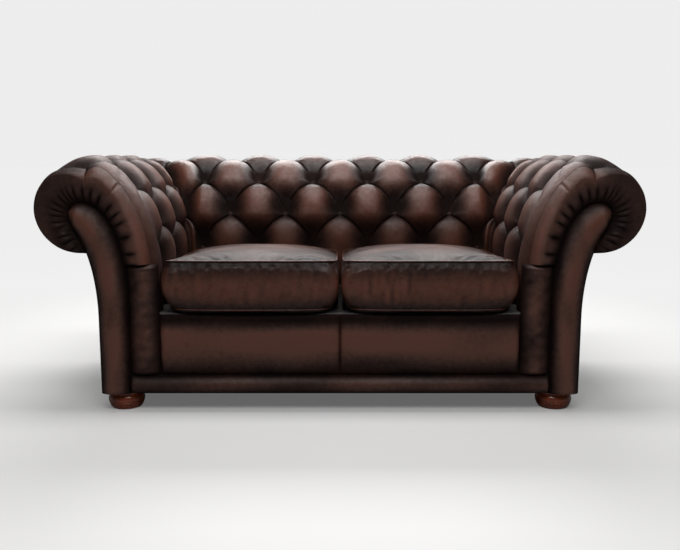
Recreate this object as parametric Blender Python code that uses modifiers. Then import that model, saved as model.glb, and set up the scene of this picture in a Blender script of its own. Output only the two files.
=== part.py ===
"""Two-seater scroll-arm sofa with deep-buttoned arms and back, in dark brown leather.

Metres, +Z up. X runs across the seats, and the front faces -Y.
The origin is on the floor, under the middle of the overall box.
Sections of the arms and the back share one profile, drawn in (inset, z):
inset is the distance in from the outermost line of the roll.
"""

from math import cos, pi, radians, sin

import bmesh
import bpy
import numpy as np

# Overall size
OVERALL_WIDTH = 1.785
OVERALL_DEPTH = 0.94
OVERALL_HEIGHT = 0.757
GAP = 0.0003
CLOSE = 0.0001
LEAST_CELL = 0.1

# Profile of the arms and the back
ROLL_RADIUS = 0.134
ROLL_DROP = 0.157
FACE_REACH = 0.200
LEAN_HEIGHT = 0.41
PAD_BACKING = 0.0265
PANEL_INSET = 0.1815
PANEL_THICKNESS = 0.0117

# Buttoning: rows run down the face, columns run round the U of arms and back
ROW_PITCH = 0.128
CREST_ROW_BACK = 0.024
LAST_ROW = 3
ROW_STEPS = 4
ROLL_POINTS = 7
BACKING_POINTS = 6
BACK_HALF_COLUMNS = 2.5
CORNER_COLUMN = 3
ARM_FIRST_COLUMN = 3.5
ARM_LAST_COLUMN = 5.5
BACK_CORNER_TUCK = 0.0585
ARM_CORNER_TUCK = 0.041
FRONT_COLUMN_SETBACK = 0.155
CORNER_HALF_COLUMNS = 0.5
PUFF_DEPTH = 0.0315
BUTTON_SINK = 0.014
CREASE_FILL = 0.30
FOLD_SWEEP = 0.68
FOLD_CURVE = 2.7
PILLOW_POWER = 0.56
PILLOW_POWER_UNDER = 0.75
PILLOW_POWER_OVER = 0.22
BUTTON_REACH = 0.055
DIMPLE_DEPTH = 0.006
DIMPLE_HALF_WIDTH = 0.030
DIMPLE_HALF_HEIGHT = 0.034
DIMPLE_RISE = 0.012
PILLOW_SKEW = 0.20
RIDGE_POWER = 1.4
ROLL_PLEAT_DEPTH = 0.004
PLEAT_FADE_START = 0.05
PLEAT_FADE_SPAN = 0.20
FRONT_PUFF_SPAN = 0.4
FRONT_PUFF_FILL = 0.82
FRONT_PUFF_START = 0.02
FRONT_PUFF_RISE = 0.08

# Turn of an arm's leather over its front edge
FRONT_TURN = 0.075
FRONT_DROP_ROLL = 0.018
FRONT_DROP_FACE = 0.052
FRONT_DROP_START = 0.12
FRONT_DROP_SPAN = 0.16

# Facing at the front of each arm
FACING_THICKNESS = 0.03
FACING_WIDTH = 0.09
FACING_CLEAR_OF_PANEL = 0.0005
FACING_EDGE = 0.013
FACING_LEAN_HEIGHT = 0.35
HOOK_INSET = 0.1475
HOOK_RADIUS = 0.0405
HOOK_DROP = 0.177
NECK_HEIGHT = 0.28
NECK_SPREAD = 0.11
NECK_JOIN = 0.0161
NECK_TURN = radians(64)
HOOK_TURN = radians(-35)

# Border that is gathered round each facing
SCROLL_BORDER_BULGE = 0.0257
SCROLL_BORDER_STATIONS = 30
SCROLL_BORDER_END = 0.155
SCROLL_BORDER_TURN_SHARE = 0.6
SCROLL_BORDER_TURN_POINTS = 4
SCROLL_BORDER_REST_POINTS = 4
SCROLL_BORDER_CHANNEL = 0.036
SCROLL_BORDER_SINK = 0.72
SCROLL_BORDER_SEAM = 0.0008
BORDER_TUCK_TURN = radians(42)

# Seat
DECK_TOP = 0.2914
DECK_THICKNESS = 0.0248
CUSHION_TOP_SEAM = 0.451
CUSHION_CROWN = 0.043
CUSHION_REAR_FALL = 0.028
CUSHION_SIDE_SAG = 0.010
CUSHION_BOTTOM_SEAM = 0.314
CUSHION_MIDDLE_GAP = 0.008
CUSHION_SIDE_CLEARANCE = 0.0045
CUSHION_FRONT_SETBACK = 0.004
CUSHION_BULGE = 0.007
CUSHION_TOP_DRAW = 0.010
CUSHION_BASE_DRAW = 0.026
CUSHION_CUTS = 11
CUSHION_DOME_CURVE = 2.5
CUSHION_DOME_POWER = 0.85
CUSHION_BASE_POWER = 0.25

# Plain borders across the front
BAND_TOP = 0.1085
BAND_SETBACK = 0.002
BORDER_SETBACK = 0.0085
BORDER_EDGE = 0.009
PANEL_CUTS = 7
PANEL_RIM = 0.35
PANEL_DOME_POWER = 0.6
SEAT_BORDER_INSET = 0.3613
ARM_BORDER_TOP = 0.44

# Timber
BOARD = 0.028
ARRIS = 0.002
FRONT_RAIL_TOP = 0.262
SIDE_RAIL_HEIGHT = 0.10
SPRING_RAIL_HEIGHT = 0.082
STUFF_RAIL_HEIGHT = 0.05
STUFF_RAIL_THICKNESS = 0.025
STUFF_RAIL_LAP = 0.077
TOP_RAIL_WIDTH = 0.06
TOP_RAIL_THICKNESS = 0.03
TOP_RAIL_RISE = 0.06
CORNER_BLOCK_NOSE = 0.012
CORNER_BLOCK_HEIGHT = 0.05

# Feet
FOOT_HEIGHT = 0.052
FOOT_RADIUS = 0.054
FOOT_INSET = 0.0211
FOOT_SETBACK = 0.0168
FOOT_STEPS = 22
BOLT_RADIUS = 0.005
BOLT_CLEARANCE = 0.0003
BOLT_LENGTH = 0.083
BOLT_BOTTOM = 0.012

# Springs and cloths
SPRING_WIRE_RADIUS = 0.002
SPRING_SWING = 0.024
SPRING_BENDS = 9
SPRING_BEND_POINTS = 4
SPRING_SHARES = (0.17, 0.46, 0.75)
SPRING_LANDING = 0.012
DUST_COVER_THICKNESS = 0.0017
DUST_COVER_MARGIN = 0.002
DUST_COVER_CLEAR_OF_FOOT = 0.006

# Places that follow from the sizes above
HALF_WIDTH = OVERALL_WIDTH / 2
HALF_DEPTH = OVERALL_DEPTH / 2
ROLL_CENTRE_Z = OVERALL_HEIGHT - ROLL_DROP
FACE_INSET = ROLL_RADIUS + FACE_REACH
LEAN_RISE = ROLL_CENTRE_Z + ROLL_RADIUS - LEAN_HEIGHT
PAD_FOOT_Z = DECK_TOP + GAP
PANEL_INNER_INSET = PANEL_INSET + PANEL_THICKNESS
FRAME_OUTER_INSET = PANEL_INNER_INSET + GAP
FRAME_INNER_INSET = FACE_INSET - PAD_BACKING - GAP
UNDERSIDE_Z = FOOT_HEIGHT + GAP
COLUMN_STEPS = 2 * ROW_STEPS
FRONT_ROUND = FRONT_TURN + SCROLL_BORDER_BULGE
SEAT_BORDER_HALF = HALF_WIDTH - SEAT_BORDER_INSET
BOARD_FRONT = FACING_THICKNESS - HALF_DEPTH
COVER_BACK = BOARD_FRONT - GAP
FACING_OUTER_INSET = PANEL_INSET - FACING_CLEAR_OF_PANEL
FACING_INNER_INSET = FACING_OUTER_INSET + FACING_WIDTH
HOOK_CENTRE_Z = OVERALL_HEIGHT - HOOK_DROP
HOOK_END_Z = HOOK_CENTRE_Z + HOOK_RADIUS * sin(HOOK_TURN)
NECK_RISE = (HOOK_END_Z - NECK_JOIN - NECK_HEIGHT) / sin(NECK_TURN)
COLUMN_PITCH = (HALF_WIDTH - FACE_INSET - BACK_CORNER_TUCK) / BACK_HALF_COLUMNS
ARM_COLUMN_SPAN = OVERALL_DEPTH - FACE_INSET - ARM_CORNER_TUCK - FRONT_COLUMN_SETBACK
ARM_COLUMN_PITCH = ARM_COLUMN_SPAN / (ARM_LAST_COLUMN - ARM_FIRST_COLUMN)
FRONT_COLUMN = ARM_LAST_COLUMN + (FRONT_COLUMN_SETBACK - FACING_THICKNESS) / ARM_COLUMN_PITCH
FRAME_INNER_X = HALF_WIDTH - FRAME_INNER_INSET
FRAME_OUTER_X = HALF_WIDTH - FRAME_OUTER_INSET
BACK_FRAME_FRONT = HALF_DEPTH - FRAME_INNER_INSET
BACK_FRAME_REAR = HALF_DEPTH - FRAME_OUTER_INSET
SPRING_Z = FRONT_RAIL_TOP + GAP + SPRING_WIRE_RADIUS
CUSHION_REAR = HALF_DEPTH - FACE_INSET - PUFF_DEPTH - CUSHION_SIDE_CLEARANCE
CUSHION_OUTER = HALF_WIDTH - FACE_INSET - PUFF_DEPTH - CUSHION_SIDE_CLEARANCE
CUSHION_FRONT = CUSHION_FRONT_SETBACK - HALF_DEPTH
BLOCK_OUTER_X = FRAME_OUTER_X - BOARD - GAP
CORNER_BLOCK_LEG = BLOCK_OUTER_X - FRAME_INNER_X - GAP
FRONT_BLOCK_Y = BOARD_FRONT + BOARD + GAP
REAR_BLOCK_Y = BACK_FRAME_REAR - BOARD - GAP
FOOT_X = BLOCK_OUTER_X - FOOT_INSET
FRONT_FOOT_Y = FRONT_BLOCK_Y + FOOT_SETBACK
REAR_FOOT_Y = REAR_BLOCK_Y - FOOT_SETBACK
SIDES = (("left", -1), ("right", 1))


def clear_scene():
    """Start from an empty scene."""
    for obj in list(bpy.data.objects):
        bpy.data.objects.remove(obj)


def new_material(name, colour, roughness, metallic=0.0):
    """A Principled material."""
    made = bpy.data.materials.new(name)
    made.use_nodes = True
    shader = made.node_tree.nodes["Principled BSDF"]
    shader.inputs["Base Color"].default_value = (*colour, 1.0)
    shader.inputs["Roughness"].default_value = roughness
    shader.inputs["Metallic"].default_value = metallic
    made.diffuse_color = (*colour, 1.0)
    return made


def place(obj, name, material, smooth=True):
    """Name the object, give it its material and move it into the sofa's collection."""
    obj.name = name
    obj.data.name = name
    obj.data.materials.clear()
    obj.data.materials.append(material)
    for collection in list(obj.users_collection):
        collection.objects.unlink(obj)
    SOFA.objects.link(obj)
    if smooth and obj.type == "MESH":
        obj.data.shade_smooth()
        obj.data.set_sharp_from_angle(angle=radians(40))
    return obj


def box(name, low, high, material, edge=ARRIS, segments=1):
    """A block between two corners, with its arrises eased."""
    low = np.array(low)
    high = np.array(high)
    bpy.ops.mesh.primitive_cube_add(size=1, location=(low + high) / 2)
    obj = bpy.context.object
    obj.scale = high - low
    bpy.ops.object.transform_apply(location=False, rotation=False, scale=True)
    bevel = obj.modifiers.new("Eased edges", "BEVEL")
    bevel.width = edge
    bevel.segments = segments
    bevel.limit_method = "ANGLE"
    return place(obj, name, material)


def plate(name, outlines, thickness, material, edge=0.0, edge_steps=2):
    """A flat outline, with any holes in it, filled and thickened about its own plane."""
    curve = bpy.data.curves.new(name, "CURVE")
    curve.dimensions = "2D"
    curve.fill_mode = "BOTH"
    curve.extrude = thickness / 2 - edge
    curve.bevel_depth = edge
    curve.bevel_resolution = edge_steps
    curve.offset = -edge
    for outline in outlines:
        spline = curve.splines.new("POLY")
        spline.points.add(len(outline) - 1)
        for point, (across, up) in zip(spline.points, outline):
            point.co = (across, up, 0.0, 1.0)
        spline.use_cyclic_u = True
    obj = bpy.data.objects.new(name, curve)
    bpy.context.scene.collection.objects.link(obj)
    return place(obj, name, material)


def loft(name, rings, material, cross_diagonal=None):
    """A closed body through rings of points, one ring after another, with both ends filled.

    cross_diagonal(ring, point) tells which way a four-sided cell is divided.
    """
    rings = np.array(rings)
    count, size, _ = rings.shape
    faces = [tuple(range(size))]
    faces.append(tuple((count - 1) * size + k for k in reversed(range(size))))
    for ring in range(count - 1):
        for point in range(size):
            after = (point + 1) % size
            a = ring * size + point
            b = (ring + 1) * size + point
            c = (ring + 1) * size + after
            d = ring * size + after
            if cross_diagonal and cross_diagonal(ring, point):
                faces += [(a, b, d), (b, c, d)]
            else:
                faces += [(a, b, c), (a, c, d)]
    mesh = bpy.data.meshes.new(name)
    mesh.from_pydata(rings.reshape(-1, 3), [], faces)
    shape = bmesh.new()
    shape.from_mesh(mesh)
    bmesh.ops.recalc_face_normals(shape, faces=shape.faces)
    shape.to_mesh(mesh)
    shape.free()
    obj = bpy.data.objects.new(name, mesh)
    bpy.context.scene.collection.objects.link(obj)
    return place(obj, name, material)


def turned(name, profile, location, material):
    """A profile in (radius, z), run down its outer side, turned about +Z."""
    mesh = bpy.data.meshes.new(name)
    points = [(radius, 0.0, z) for radius, z in profile]
    edges = [(k, k + 1) for k in range(len(points) - 1)]
    mesh.from_pydata(points, edges, [])
    obj = bpy.data.objects.new(name, mesh)
    bpy.context.scene.collection.objects.link(obj)
    obj.location = location
    screw = obj.modifiers.new("Turned", "SCREW")
    screw.steps = FOOT_STEPS
    screw.render_steps = FOOT_STEPS
    screw.use_merge_vertices = True
    screw.merge_threshold = 0.0001
    screw.use_smooth_shade = True
    return place(obj, name, material, smooth=False)


def profile_line():
    """The surface that the buttons are drawn down to, in section.

    It rises straight from the deck, leans out on a quarter ellipse to the top of the roll,
    goes half round the roll and runs back to the outside panel. The result holds points,
    outward normals and the distance of each point down the face from the crest row.
    """
    fine = np.linspace(0.0, 1.0, 400)
    rise = np.stack([0 * fine + FACE_INSET, PAD_FOOT_Z + fine * (LEAN_HEIGHT - PAD_FOOT_Z)], 1)
    turn = fine * pi / 2
    lean_inset = ROLL_RADIUS + FACE_REACH * np.cos(turn)
    lean = np.stack([lean_inset, LEAN_HEIGHT + LEAN_RISE * np.sin(turn)], 1)
    turn = pi / 2 - fine * pi
    roll_inset = ROLL_RADIUS * (1 - np.cos(turn))
    roll = np.stack([roll_inset, ROLL_CENTRE_Z + ROLL_RADIUS * np.sin(turn)], 1)
    under_inset = ROLL_RADIUS + fine * (PANEL_INSET - GAP - ROLL_RADIUS)
    under = np.stack([under_inset, 0 * fine + ROLL_CENTRE_Z - ROLL_RADIUS], 1)
    points = np.concatenate([rise, lean[1:], roll[1:], under[1:]])
    steps = np.linalg.norm(np.diff(points, axis=0), axis=1)
    travelled = np.concatenate([[0.0], np.cumsum(steps)])
    top = travelled[len(rise) + len(lean) - 2]
    tangents = np.gradient(points, travelled, axis=0)
    tangents /= np.linalg.norm(tangents, axis=1)[:, None]
    normals = np.stack([tangents[:, 1], -tangents[:, 0]], 1)
    return points, normals, top - CREST_ROW_BACK - travelled


LINE_POINTS, LINE_NORMALS, LINE_DOWN = profile_line()
DOWN_FOOT = float(LINE_DOWN[0])
DOWN_END = float(LINE_DOWN[-1])


def line_at(down):
    """Point and normal of the profile at each distance down from the crest row."""
    order = slice(None, None, -1)
    axes = LINE_DOWN[order]
    point = [np.interp(down, axes, LINE_POINTS[order, k]) for k in (0, 1)]
    normal = [np.interp(down, axes, LINE_NORMALS[order, k]) for k in (0, 1)]
    return np.stack(point, -1), np.stack(normal, -1)


def down_at_turn(turn):
    """Distance down from the crest row of a point on the roll, by its angle at the roll's centre."""
    return -CREST_ROW_BACK - ROLL_RADIUS * (pi / 2 - turn)


def down_at_height(height):
    """Distance down from the crest row of the face's point at this height."""
    face = LINE_DOWN > 0
    return float(np.interp(height, LINE_POINTS[face, 1], LINE_DOWN[face]))


def smooth(share):
    """Share from 0 to 1 with level ends."""
    share = np.clip(share, 0.0, 1.0)
    return share * share * (3 - 2 * share)


DROP = np.linspace(0.0, 1.0, 200)
FOLD_PATH = (1 - FOLD_SWEEP) * DROP + FOLD_SWEEP * (1 - (1 - DROP) ** FOLD_CURVE)


def fold_row(row):
    """Row as the folds follow it: a fold leaves a button nearly level and comes to the next row
    steeply, on a straight line blended with 1 - (1 - drop) ** curve."""
    whole = np.floor(row)
    return whole + np.interp(row - whole, DROP, FOLD_PATH)


def fold_column(down, column):
    """Column as the folds count it: over the roll, each corner has one more puff on its mitre,
    and that puff closes between rows 1 and 2."""
    extra = CORNER_HALF_COLUMNS * (1 - smooth(down / ROW_PITCH - 1))
    away = abs(column)
    near = np.clip(1 - abs(CORNER_COLUMN - away) / CORNER_HALF_COLUMNS, 0, 1)
    toward = 1 if away <= CORNER_COLUMN else -1
    return np.sign(column) * (away + toward * extra * near)


def front_drop(down):
    """Half height of the oval that turns an arm's leather over its front edge."""
    share = smooth((down + FRONT_DROP_START) / FRONT_DROP_SPAN)
    return FRONT_DROP_ROLL + (FRONT_DROP_FACE - FRONT_DROP_ROLL) * share


def puff_height(down, column):
    """How far the leather stands off the profile.

    With u = column - row / 2 and v = column + row / 2, where the row is swept as the folds are,
    buttons lie where both are whole. a = |sin(pi u)| and b = |sin(pi v)| are nil along the two
    families of folds. A puff is (a b) ** power, where the power is least under each button and
    greatest above it, so that the fold is sharp below and the hollow broad above. A fold fills
    as 1 - (1 - a**k) (1 - b**k).
    The height runs from the sunk buttons up to the puffs, less a dimple round each button. Over
    the roll all this fades into shallow pleats. At the front of an arm the last puff runs on and
    turns over the edge.
    """
    row = np.clip(down / ROW_PITCH, 0.0, LAST_ROW)
    swept = fold_row(row)
    folded = fold_column(down, column)
    u = folded - swept / 2
    v = folded + swept / 2
    a = np.abs(np.sin(pi * u))
    b = np.abs(np.sin(pi * v))
    across = (u - np.round(u) + v - np.round(v)) / 2 * COLUMN_PITCH
    along = (row - (np.round(v) - np.round(u))) * ROW_PITCH
    near = np.exp(-(across**2 + along**2) / BUTTON_REACH**2) * np.sin(np.arctan2(along, across))
    power = PILLOW_POWER - np.where(near > 0, PILLOW_POWER_OVER, PILLOW_POWER_UNDER) * near
    from_top = np.clip(row - (np.floor(v) - np.floor(u)), -1, 1)
    pillow = (a * b) ** power * (1 - PILLOW_SKEW * from_top * (1 - from_top**2))
    ridge = 1 - (1 - a**RIDGE_POWER) * (1 - b**RIDGE_POWER)
    full = pillow + CREASE_FILL * (ridge - pillow)
    front = smooth((column - ARM_LAST_COLUMN) / FRONT_PUFF_SPAN)
    front = front * smooth((down - FRONT_PUFF_START) / FRONT_PUFF_RISE)
    full = full + (FRONT_PUFF_FILL - full) * front
    fade = smooth((PLEAT_FADE_START - down) / PLEAT_FADE_SPAN)
    peak = PUFF_DEPTH * (1 - fade)
    pit = -BUTTON_SINK * (1 - fade) - ROLL_PLEAT_DEPTH * fade
    aside = (across / DIMPLE_HALF_WIDTH) ** 2 + ((along + DIMPLE_RISE) / DIMPLE_HALF_HEIGHT) ** 2
    dimple = DIMPLE_DEPTH * np.exp(-aside) * (1 - front) * (1 - fade)
    ending = np.clip((down - DOWN_END) / ROLL_RADIUS, 0.0, 1.0)
    to_edge = max(0.0, 1 - (FRONT_COLUMN - column) * ARM_COLUMN_PITCH / FRONT_TURN)
    turned = 1 - np.sqrt(1 - (to_edge * FRONT_TURN / FRONT_ROUND) ** 2)
    return (pit + (peak - pit) * full - dimple) * ending - front_drop(down) * turned


def padded_section(down, column):
    """Points (inset, z) of the leather at these distances down, in one column."""
    points, normals = line_at(down)
    return points + normals * puff_height(down, column)[:, None]


ROWS_DOWN = int(DOWN_FOOT / ROW_PITCH * ROW_STEPS - LEAST_CELL)
WITHIN_ROW = np.interp(np.arange(ROW_STEPS) / ROW_STEPS, FOLD_PATH, DROP)
FACE_ROWS = [
    (k // ROW_STEPS + WITHIN_ROW[k % ROW_STEPS]) * ROW_PITCH for k in range(ROWS_DOWN, -1, -1)
]
ROLL_TURNS = [down_at_turn(turn) for turn in np.linspace(pi / 2, -pi / 2, ROLL_POINTS)]
OUTER_DOWN = np.array([DOWN_FOOT, *FACE_ROWS, *ROLL_TURNS, DOWN_END])
BACKING_TURNS = [down_at_turn(turn) for turn in np.linspace(-pi / 2, pi / 2, BACKING_POINTS)]
BACKING_ROWS = [k * ROW_PITCH for k in range(LAST_ROW + 1)]
BACKING_DOWN = np.array([DOWN_END, *BACKING_TURNS, *BACKING_ROWS, DOWN_FOOT])


def backing_section(depth, down):
    """Points (inset, z) at this depth under the profile."""
    points, normals = line_at(down)
    return points - normals * depth


def crease_divides(first_column):
    """Divide each cell of a pad along the crease that crosses it."""

    def divide(ring, point):
        column_number = first_column + ring
        row_number = ROWS_DOWN + 1 - point
        return (column_number + 1 - row_number) % COLUMN_STEPS == 0

    return divide


def pad_ring(column):
    """Section (inset, z) of a pad, closed: up the leather and back along its base."""
    outer = padded_section(OUTER_DOWN, column)
    inner = backing_section(PAD_BACKING, BACKING_DOWN)
    return np.concatenate([outer, inner])


def back_pad(material):
    """The buttoned back, from mitre to mitre."""
    rings = []
    steps = int(CORNER_COLUMN * COLUMN_STEPS)
    for number in range(-steps, steps + 1):
        column = number / COLUMN_STEPS
        section = pad_ring(column)
        mitre = HALF_WIDTH - section[:, 0] - GAP
        share = max(0.0, abs(column) - BACK_HALF_COLUMNS) / (CORNER_COLUMN - BACK_HALF_COLUMNS)
        straight = min(abs(column), BACK_HALF_COLUMNS) * COLUMN_PITCH
        across = (straight + (mitre - straight) * share) * (1 if column >= 0 else -1)
        rings.append(np.stack([across, HALF_DEPTH - section[:, 0], section[:, 1]], 1))
    return loft("back_tufted_pad", rings, material, crease_divides(-steps))


def arm_y(column):
    """Place of a column of buttons along an arm."""
    return FRONT_COLUMN_SETBACK - HALF_DEPTH + (ARM_LAST_COLUMN - column) * ARM_COLUMN_PITCH


def arm_pad(name, side, material):
    """A buttoned arm, from the mitre to the front board."""
    whole = int(FRONT_COLUMN * COLUMN_STEPS - LEAST_CELL)
    numbers = range(int(CORNER_COLUMN * COLUMN_STEPS), whole + 1)
    columns = [number / COLUMN_STEPS for number in numbers] + [FRONT_COLUMN]
    rings = []
    for column in columns:
        section = pad_ring(column)
        mitre = HALF_DEPTH - section[:, 0] - GAP
        share = max(0.0, ARM_FIRST_COLUMN - column) / (ARM_FIRST_COLUMN - CORNER_COLUMN)
        straight = arm_y(max(column, ARM_FIRST_COLUMN))
        along = straight + (mitre - straight) * share
        rings.append(np.stack([side * (HALF_WIDTH - section[:, 0]), along, section[:, 1]], 1))
    return loft(name, rings, material, crease_divides(numbers[0]))


LEAN_TURNS = np.linspace(0, pi / 2, 12)


def facing_inner_edge(turn, grow=0.0):
    """Inner edge of the facing where it leans: a quarter ellipse, by its angle."""
    inset = HOOK_INSET + (FACING_INNER_INSET - HOOK_INSET + grow) * np.cos(turn)
    rise = HOOK_CENTRE_Z + HOOK_RADIUS - FACING_LEAN_HEIGHT + grow
    return np.stack([inset, FACING_LEAN_HEIGHT + rise * np.sin(turn)], -1)


def facing_hook(turn, grow=0.0):
    """Round end of the facing, by its angle."""
    radius = HOOK_RADIUS + grow
    return np.stack([HOOK_INSET - radius * np.cos(turn), HOOK_CENTRE_Z + radius * np.sin(turn)], -1)


def facing_neck(turn, grow=0.0):
    """Hollow outer edge of the facing under the roll, by its angle."""
    inset = FACING_OUTER_INSET - NECK_SPREAD * (1 - np.cos(turn)) - grow
    return np.stack([inset, NECK_HEIGHT + NECK_RISE * np.sin(turn)], -1)


def facing_outline():
    """The facing's edge, all round."""
    lean = facing_inner_edge(LEAN_TURNS)
    hook = facing_hook(np.linspace(pi / 2, HOOK_TURN, 9))[1:]
    neck = facing_neck(np.linspace(NECK_TURN, 0, 9))
    foot = np.array([[FACING_OUTER_INSET, UNDERSIDE_Z], [FACING_INNER_INSET, UNDERSIDE_Z]])
    return np.concatenate([lean, hook, neck, foot])


def upright(obj, front):
    """Stand a plate drawn in (inset, z) upright across an arm, its front face at this place."""
    obj.rotation_euler = (pi / 2, 0.0, 0.0)
    thickness = 2 * (obj.data.extrude + obj.data.bevel_depth)
    obj.location = (0.0, front + thickness / 2, 0.0)
    return obj


def across_arm(outline, side):
    """Outline (inset, z) as (x, z) on one side."""
    return [(side * (HALF_WIDTH - inset), z) for inset, z in outline]


def facing(name, side, material):
    """Padded facing at the front of an arm."""
    outline = across_arm(facing_outline(), side)
    made = plate(name, [outline], FACING_THICKNESS - GAP, material, FACING_EDGE)
    return upright(made, -HALF_DEPTH)


def arm_front_border(name, side, material):
    """Plain padded panel between a facing and the seat, cut to the facing's leaning edge."""
    lean = facing_inner_edge(LEAN_TURNS)
    top = (np.interp(ARM_BORDER_TOP, lean[:, 1], lean[:, 0]), ARM_BORDER_TOP)
    below = [tuple(point) for point in lean[lean[:, 1] < ARM_BORDER_TOP]]
    foot_z = BAND_TOP + GAP
    edge = [(inset + GAP, z) for inset, z in [(FACING_INNER_INSET, foot_z), *below, top]]
    seat_edge = SEAT_BORDER_INSET - GAP
    outline = edge + [(seat_edge, ARM_BORDER_TOP), (seat_edge, foot_z)]
    front = BORDER_SETBACK - HALF_DEPTH
    made = plate(name, [across_arm(outline, side)], COVER_BACK - front, material, BORDER_EDGE)
    return upright(made, front)


def scroll_border(name, side, material):
    """Gathered border between a facing and the front edge of its arm's pad."""
    shares = np.linspace(0.0, 1.0, SCROLL_BORDER_STATIONS)
    knots = (0.0, 0.4, 0.8, 1.0)
    start = down_at_height(ARM_BORDER_TOP + GAP)
    end = down_at_turn(-pi / 2) - (SCROLL_BORDER_END - ROLL_RADIUS)
    stops = (start, down_at_turn(pi / 2), down_at_turn(HOOK_TURN), end)
    downs = np.interp(shares, knots, stops)
    outer = padded_section(downs, FRONT_COLUMN)
    lean_rise = HOOK_CENTRE_Z + HOOK_RADIUS - FACING_LEAN_HEIGHT
    first_turn = np.arcsin((ARM_BORDER_TOP + GAP - FACING_LEAN_HEIGHT) / lean_rise)
    lean = facing_inner_edge(np.interp(shares, knots[:2], (first_turn, pi / 2)), SCROLL_BORDER_SEAM)
    hook = facing_hook(np.interp(shares, knots[1:3], (pi / 2, HOOK_TURN)), SCROLL_BORDER_SEAM)
    neck = facing_neck(np.interp(shares, knots[2:], (NECK_TURN, BORDER_TUCK_TURN)), SCROLL_BORDER_SEAM)
    on_lean = (shares <= knots[1])[:, None]
    on_hook = (shares <= knots[2])[:, None]
    inner = np.where(on_lean, lean, np.where(on_hook, hook, neck))
    inner[0, 1] = outer[0, 1]
    first_turn = np.arcsin(FRONT_TURN / FRONT_ROUND)
    turn = np.linspace(first_turn, pi / 2, SCROLL_BORDER_TURN_POINTS)
    rest = np.linspace(0.0, 1.0, SCROLL_BORDER_REST_POINTS)[1:]
    rise = np.concatenate([FRONT_ROUND * np.sin(turn) - FRONT_TURN, SCROLL_BORDER_BULGE + 0 * rest])
    rings = []
    for edge, seam, down in zip(outer, inner, downs):
        width = np.linalg.norm(seam - edge)
        turned = front_drop(down) * (np.cos(first_turn) - np.cos(turn))
        turned = np.minimum(turned, SCROLL_BORDER_TURN_SHARE * width)
        inwards = np.concatenate([turned, turned[-1] + (width - turned[-1]) * rest])
        channel = np.clip(1 - (width - inwards) / SCROLL_BORDER_CHANNEL, 0, 1)
        section = edge + (seam - edge) * inwards[:, None] / width
        y = COVER_BACK - rise * (1 - SCROLL_BORDER_SINK * channel**2)
        ring = np.stack([side * (HALF_WIDTH - section[:, 0]), y, section[:, 1]], 1)
        back = [(side * (HALF_WIDTH - seam[0]), COVER_BACK, seam[1])]
        rings.append(np.concatenate([ring, back]))
    return loft(name, rings, material)


def frame_board_outline(foot_inset, foot_top):
    """Outline (inset, z) of a board that fills the profile, down to the underside.

    foot_inset is where its outer edge runs below foot_top.
    """
    curve = backing_section(PAD_BACKING + GAP, BACKING_DOWN)
    shoulder = curve[0, 1]
    foot = [
        (FRAME_INNER_INSET, UNDERSIDE_Z),
        (foot_inset, UNDERSIDE_Z),
    ]
    if foot_inset > FRAME_OUTER_INSET:
        foot += [(foot_inset, foot_top), (FRAME_OUTER_INSET, foot_top)]
    foot.append((FRAME_OUTER_INSET, shoulder))
    return [tuple(point) for point in curve] + foot


def top_rail_hole():
    """Hole (inset, z) in a back board for the rail inside the roll."""
    low = ROLL_CENTRE_Z + TOP_RAIL_RISE - GAP
    high = low + TOP_RAIL_THICKNESS + 2 * GAP
    near = ROLL_RADIUS - TOP_RAIL_WIDTH / 2 - GAP
    far = ROLL_RADIUS + TOP_RAIL_WIDTH / 2 + GAP
    return [(near, low), (near, high), (far, high), (far, low)]


def front_board(name, side, material):
    """Scroll-topped board at the front of an arm."""
    outline = across_arm(frame_board_outline(FRAME_OUTER_INSET, 0.0), side)
    return upright(plate(name, [outline], BOARD, material), BOARD_FRONT)


def back_board(name, x_middle, material):
    """Scroll-topped board in the back, on edge to the front, notched for the rear rail."""
    rail_top = UNDERSIDE_Z + SIDE_RAIL_HEIGHT + GAP
    outline = frame_board_outline(FRAME_OUTER_INSET + BOARD + GAP, rail_top)
    outlines = [[(HALF_DEPTH - inset, z) for inset, z in line] for line in (outline, top_rail_hole())]
    made = plate(name, outlines, BOARD, material)
    made.rotation_euler = (pi / 2, 0.0, pi / 2)
    made.location = (x_middle, 0.0, 0.0)
    return made


def corner_block(name, side, y_corner, toward, material):
    """Three-cornered block that ties a board to the side rail and takes a foot's bolt."""
    corner = np.array([side * BLOCK_OUTER_X, y_corner])
    legs = np.array([-side, toward])
    reach = CORNER_BLOCK_LEG
    nose = CORNER_BLOCK_NOSE
    shape = np.array([(0.0, 0.0), (reach, 0.0), (reach, nose), (nose, reach), (0.0, reach)])
    outline = [tuple(point) for point in corner + shape * legs]
    centre = corner + np.array([FOOT_INSET, FOOT_SETBACK]) * legs
    turns = np.linspace(0, 2 * pi, 13)[:-1]
    radius = BOLT_RADIUS + BOLT_CLEARANCE
    hole = [(centre[0] + radius * cos(t), centre[1] + radius * sin(t)) for t in turns]
    made = plate(name, [outline, hole], CORNER_BLOCK_HEIGHT, material)
    made.location = (0.0, 0.0, UNDERSIDE_Z + CORNER_BLOCK_HEIGHT / 2)
    return made


def foot_profile():
    """Turned bun foot: a flange, a cove, the bun with a ring cut in it, and a base."""
    bore = BOLT_RADIUS + BOLT_CLEARANCE
    heights = (1.0, 0.9, 0.83, 0.76, 0.62, 0.48, 0.4, 0.36, 0.3, 0.14, 0.0)
    radii = (0.9, 0.92, 0.86, 0.93, 0.99, 1.0, 0.985, 0.95, 0.97, 0.9, 0.8)
    skin = [(FOOT_RADIUS * r, FOOT_HEIGHT * h) for r, h in zip(radii, heights)]
    bore_floor = BOLT_BOTTOM - BOLT_CLEARANCE
    return [(0.0, bore_floor), (bore, bore_floor), (bore, FOOT_HEIGHT), *skin, (0.0, 0.0)]


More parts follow.
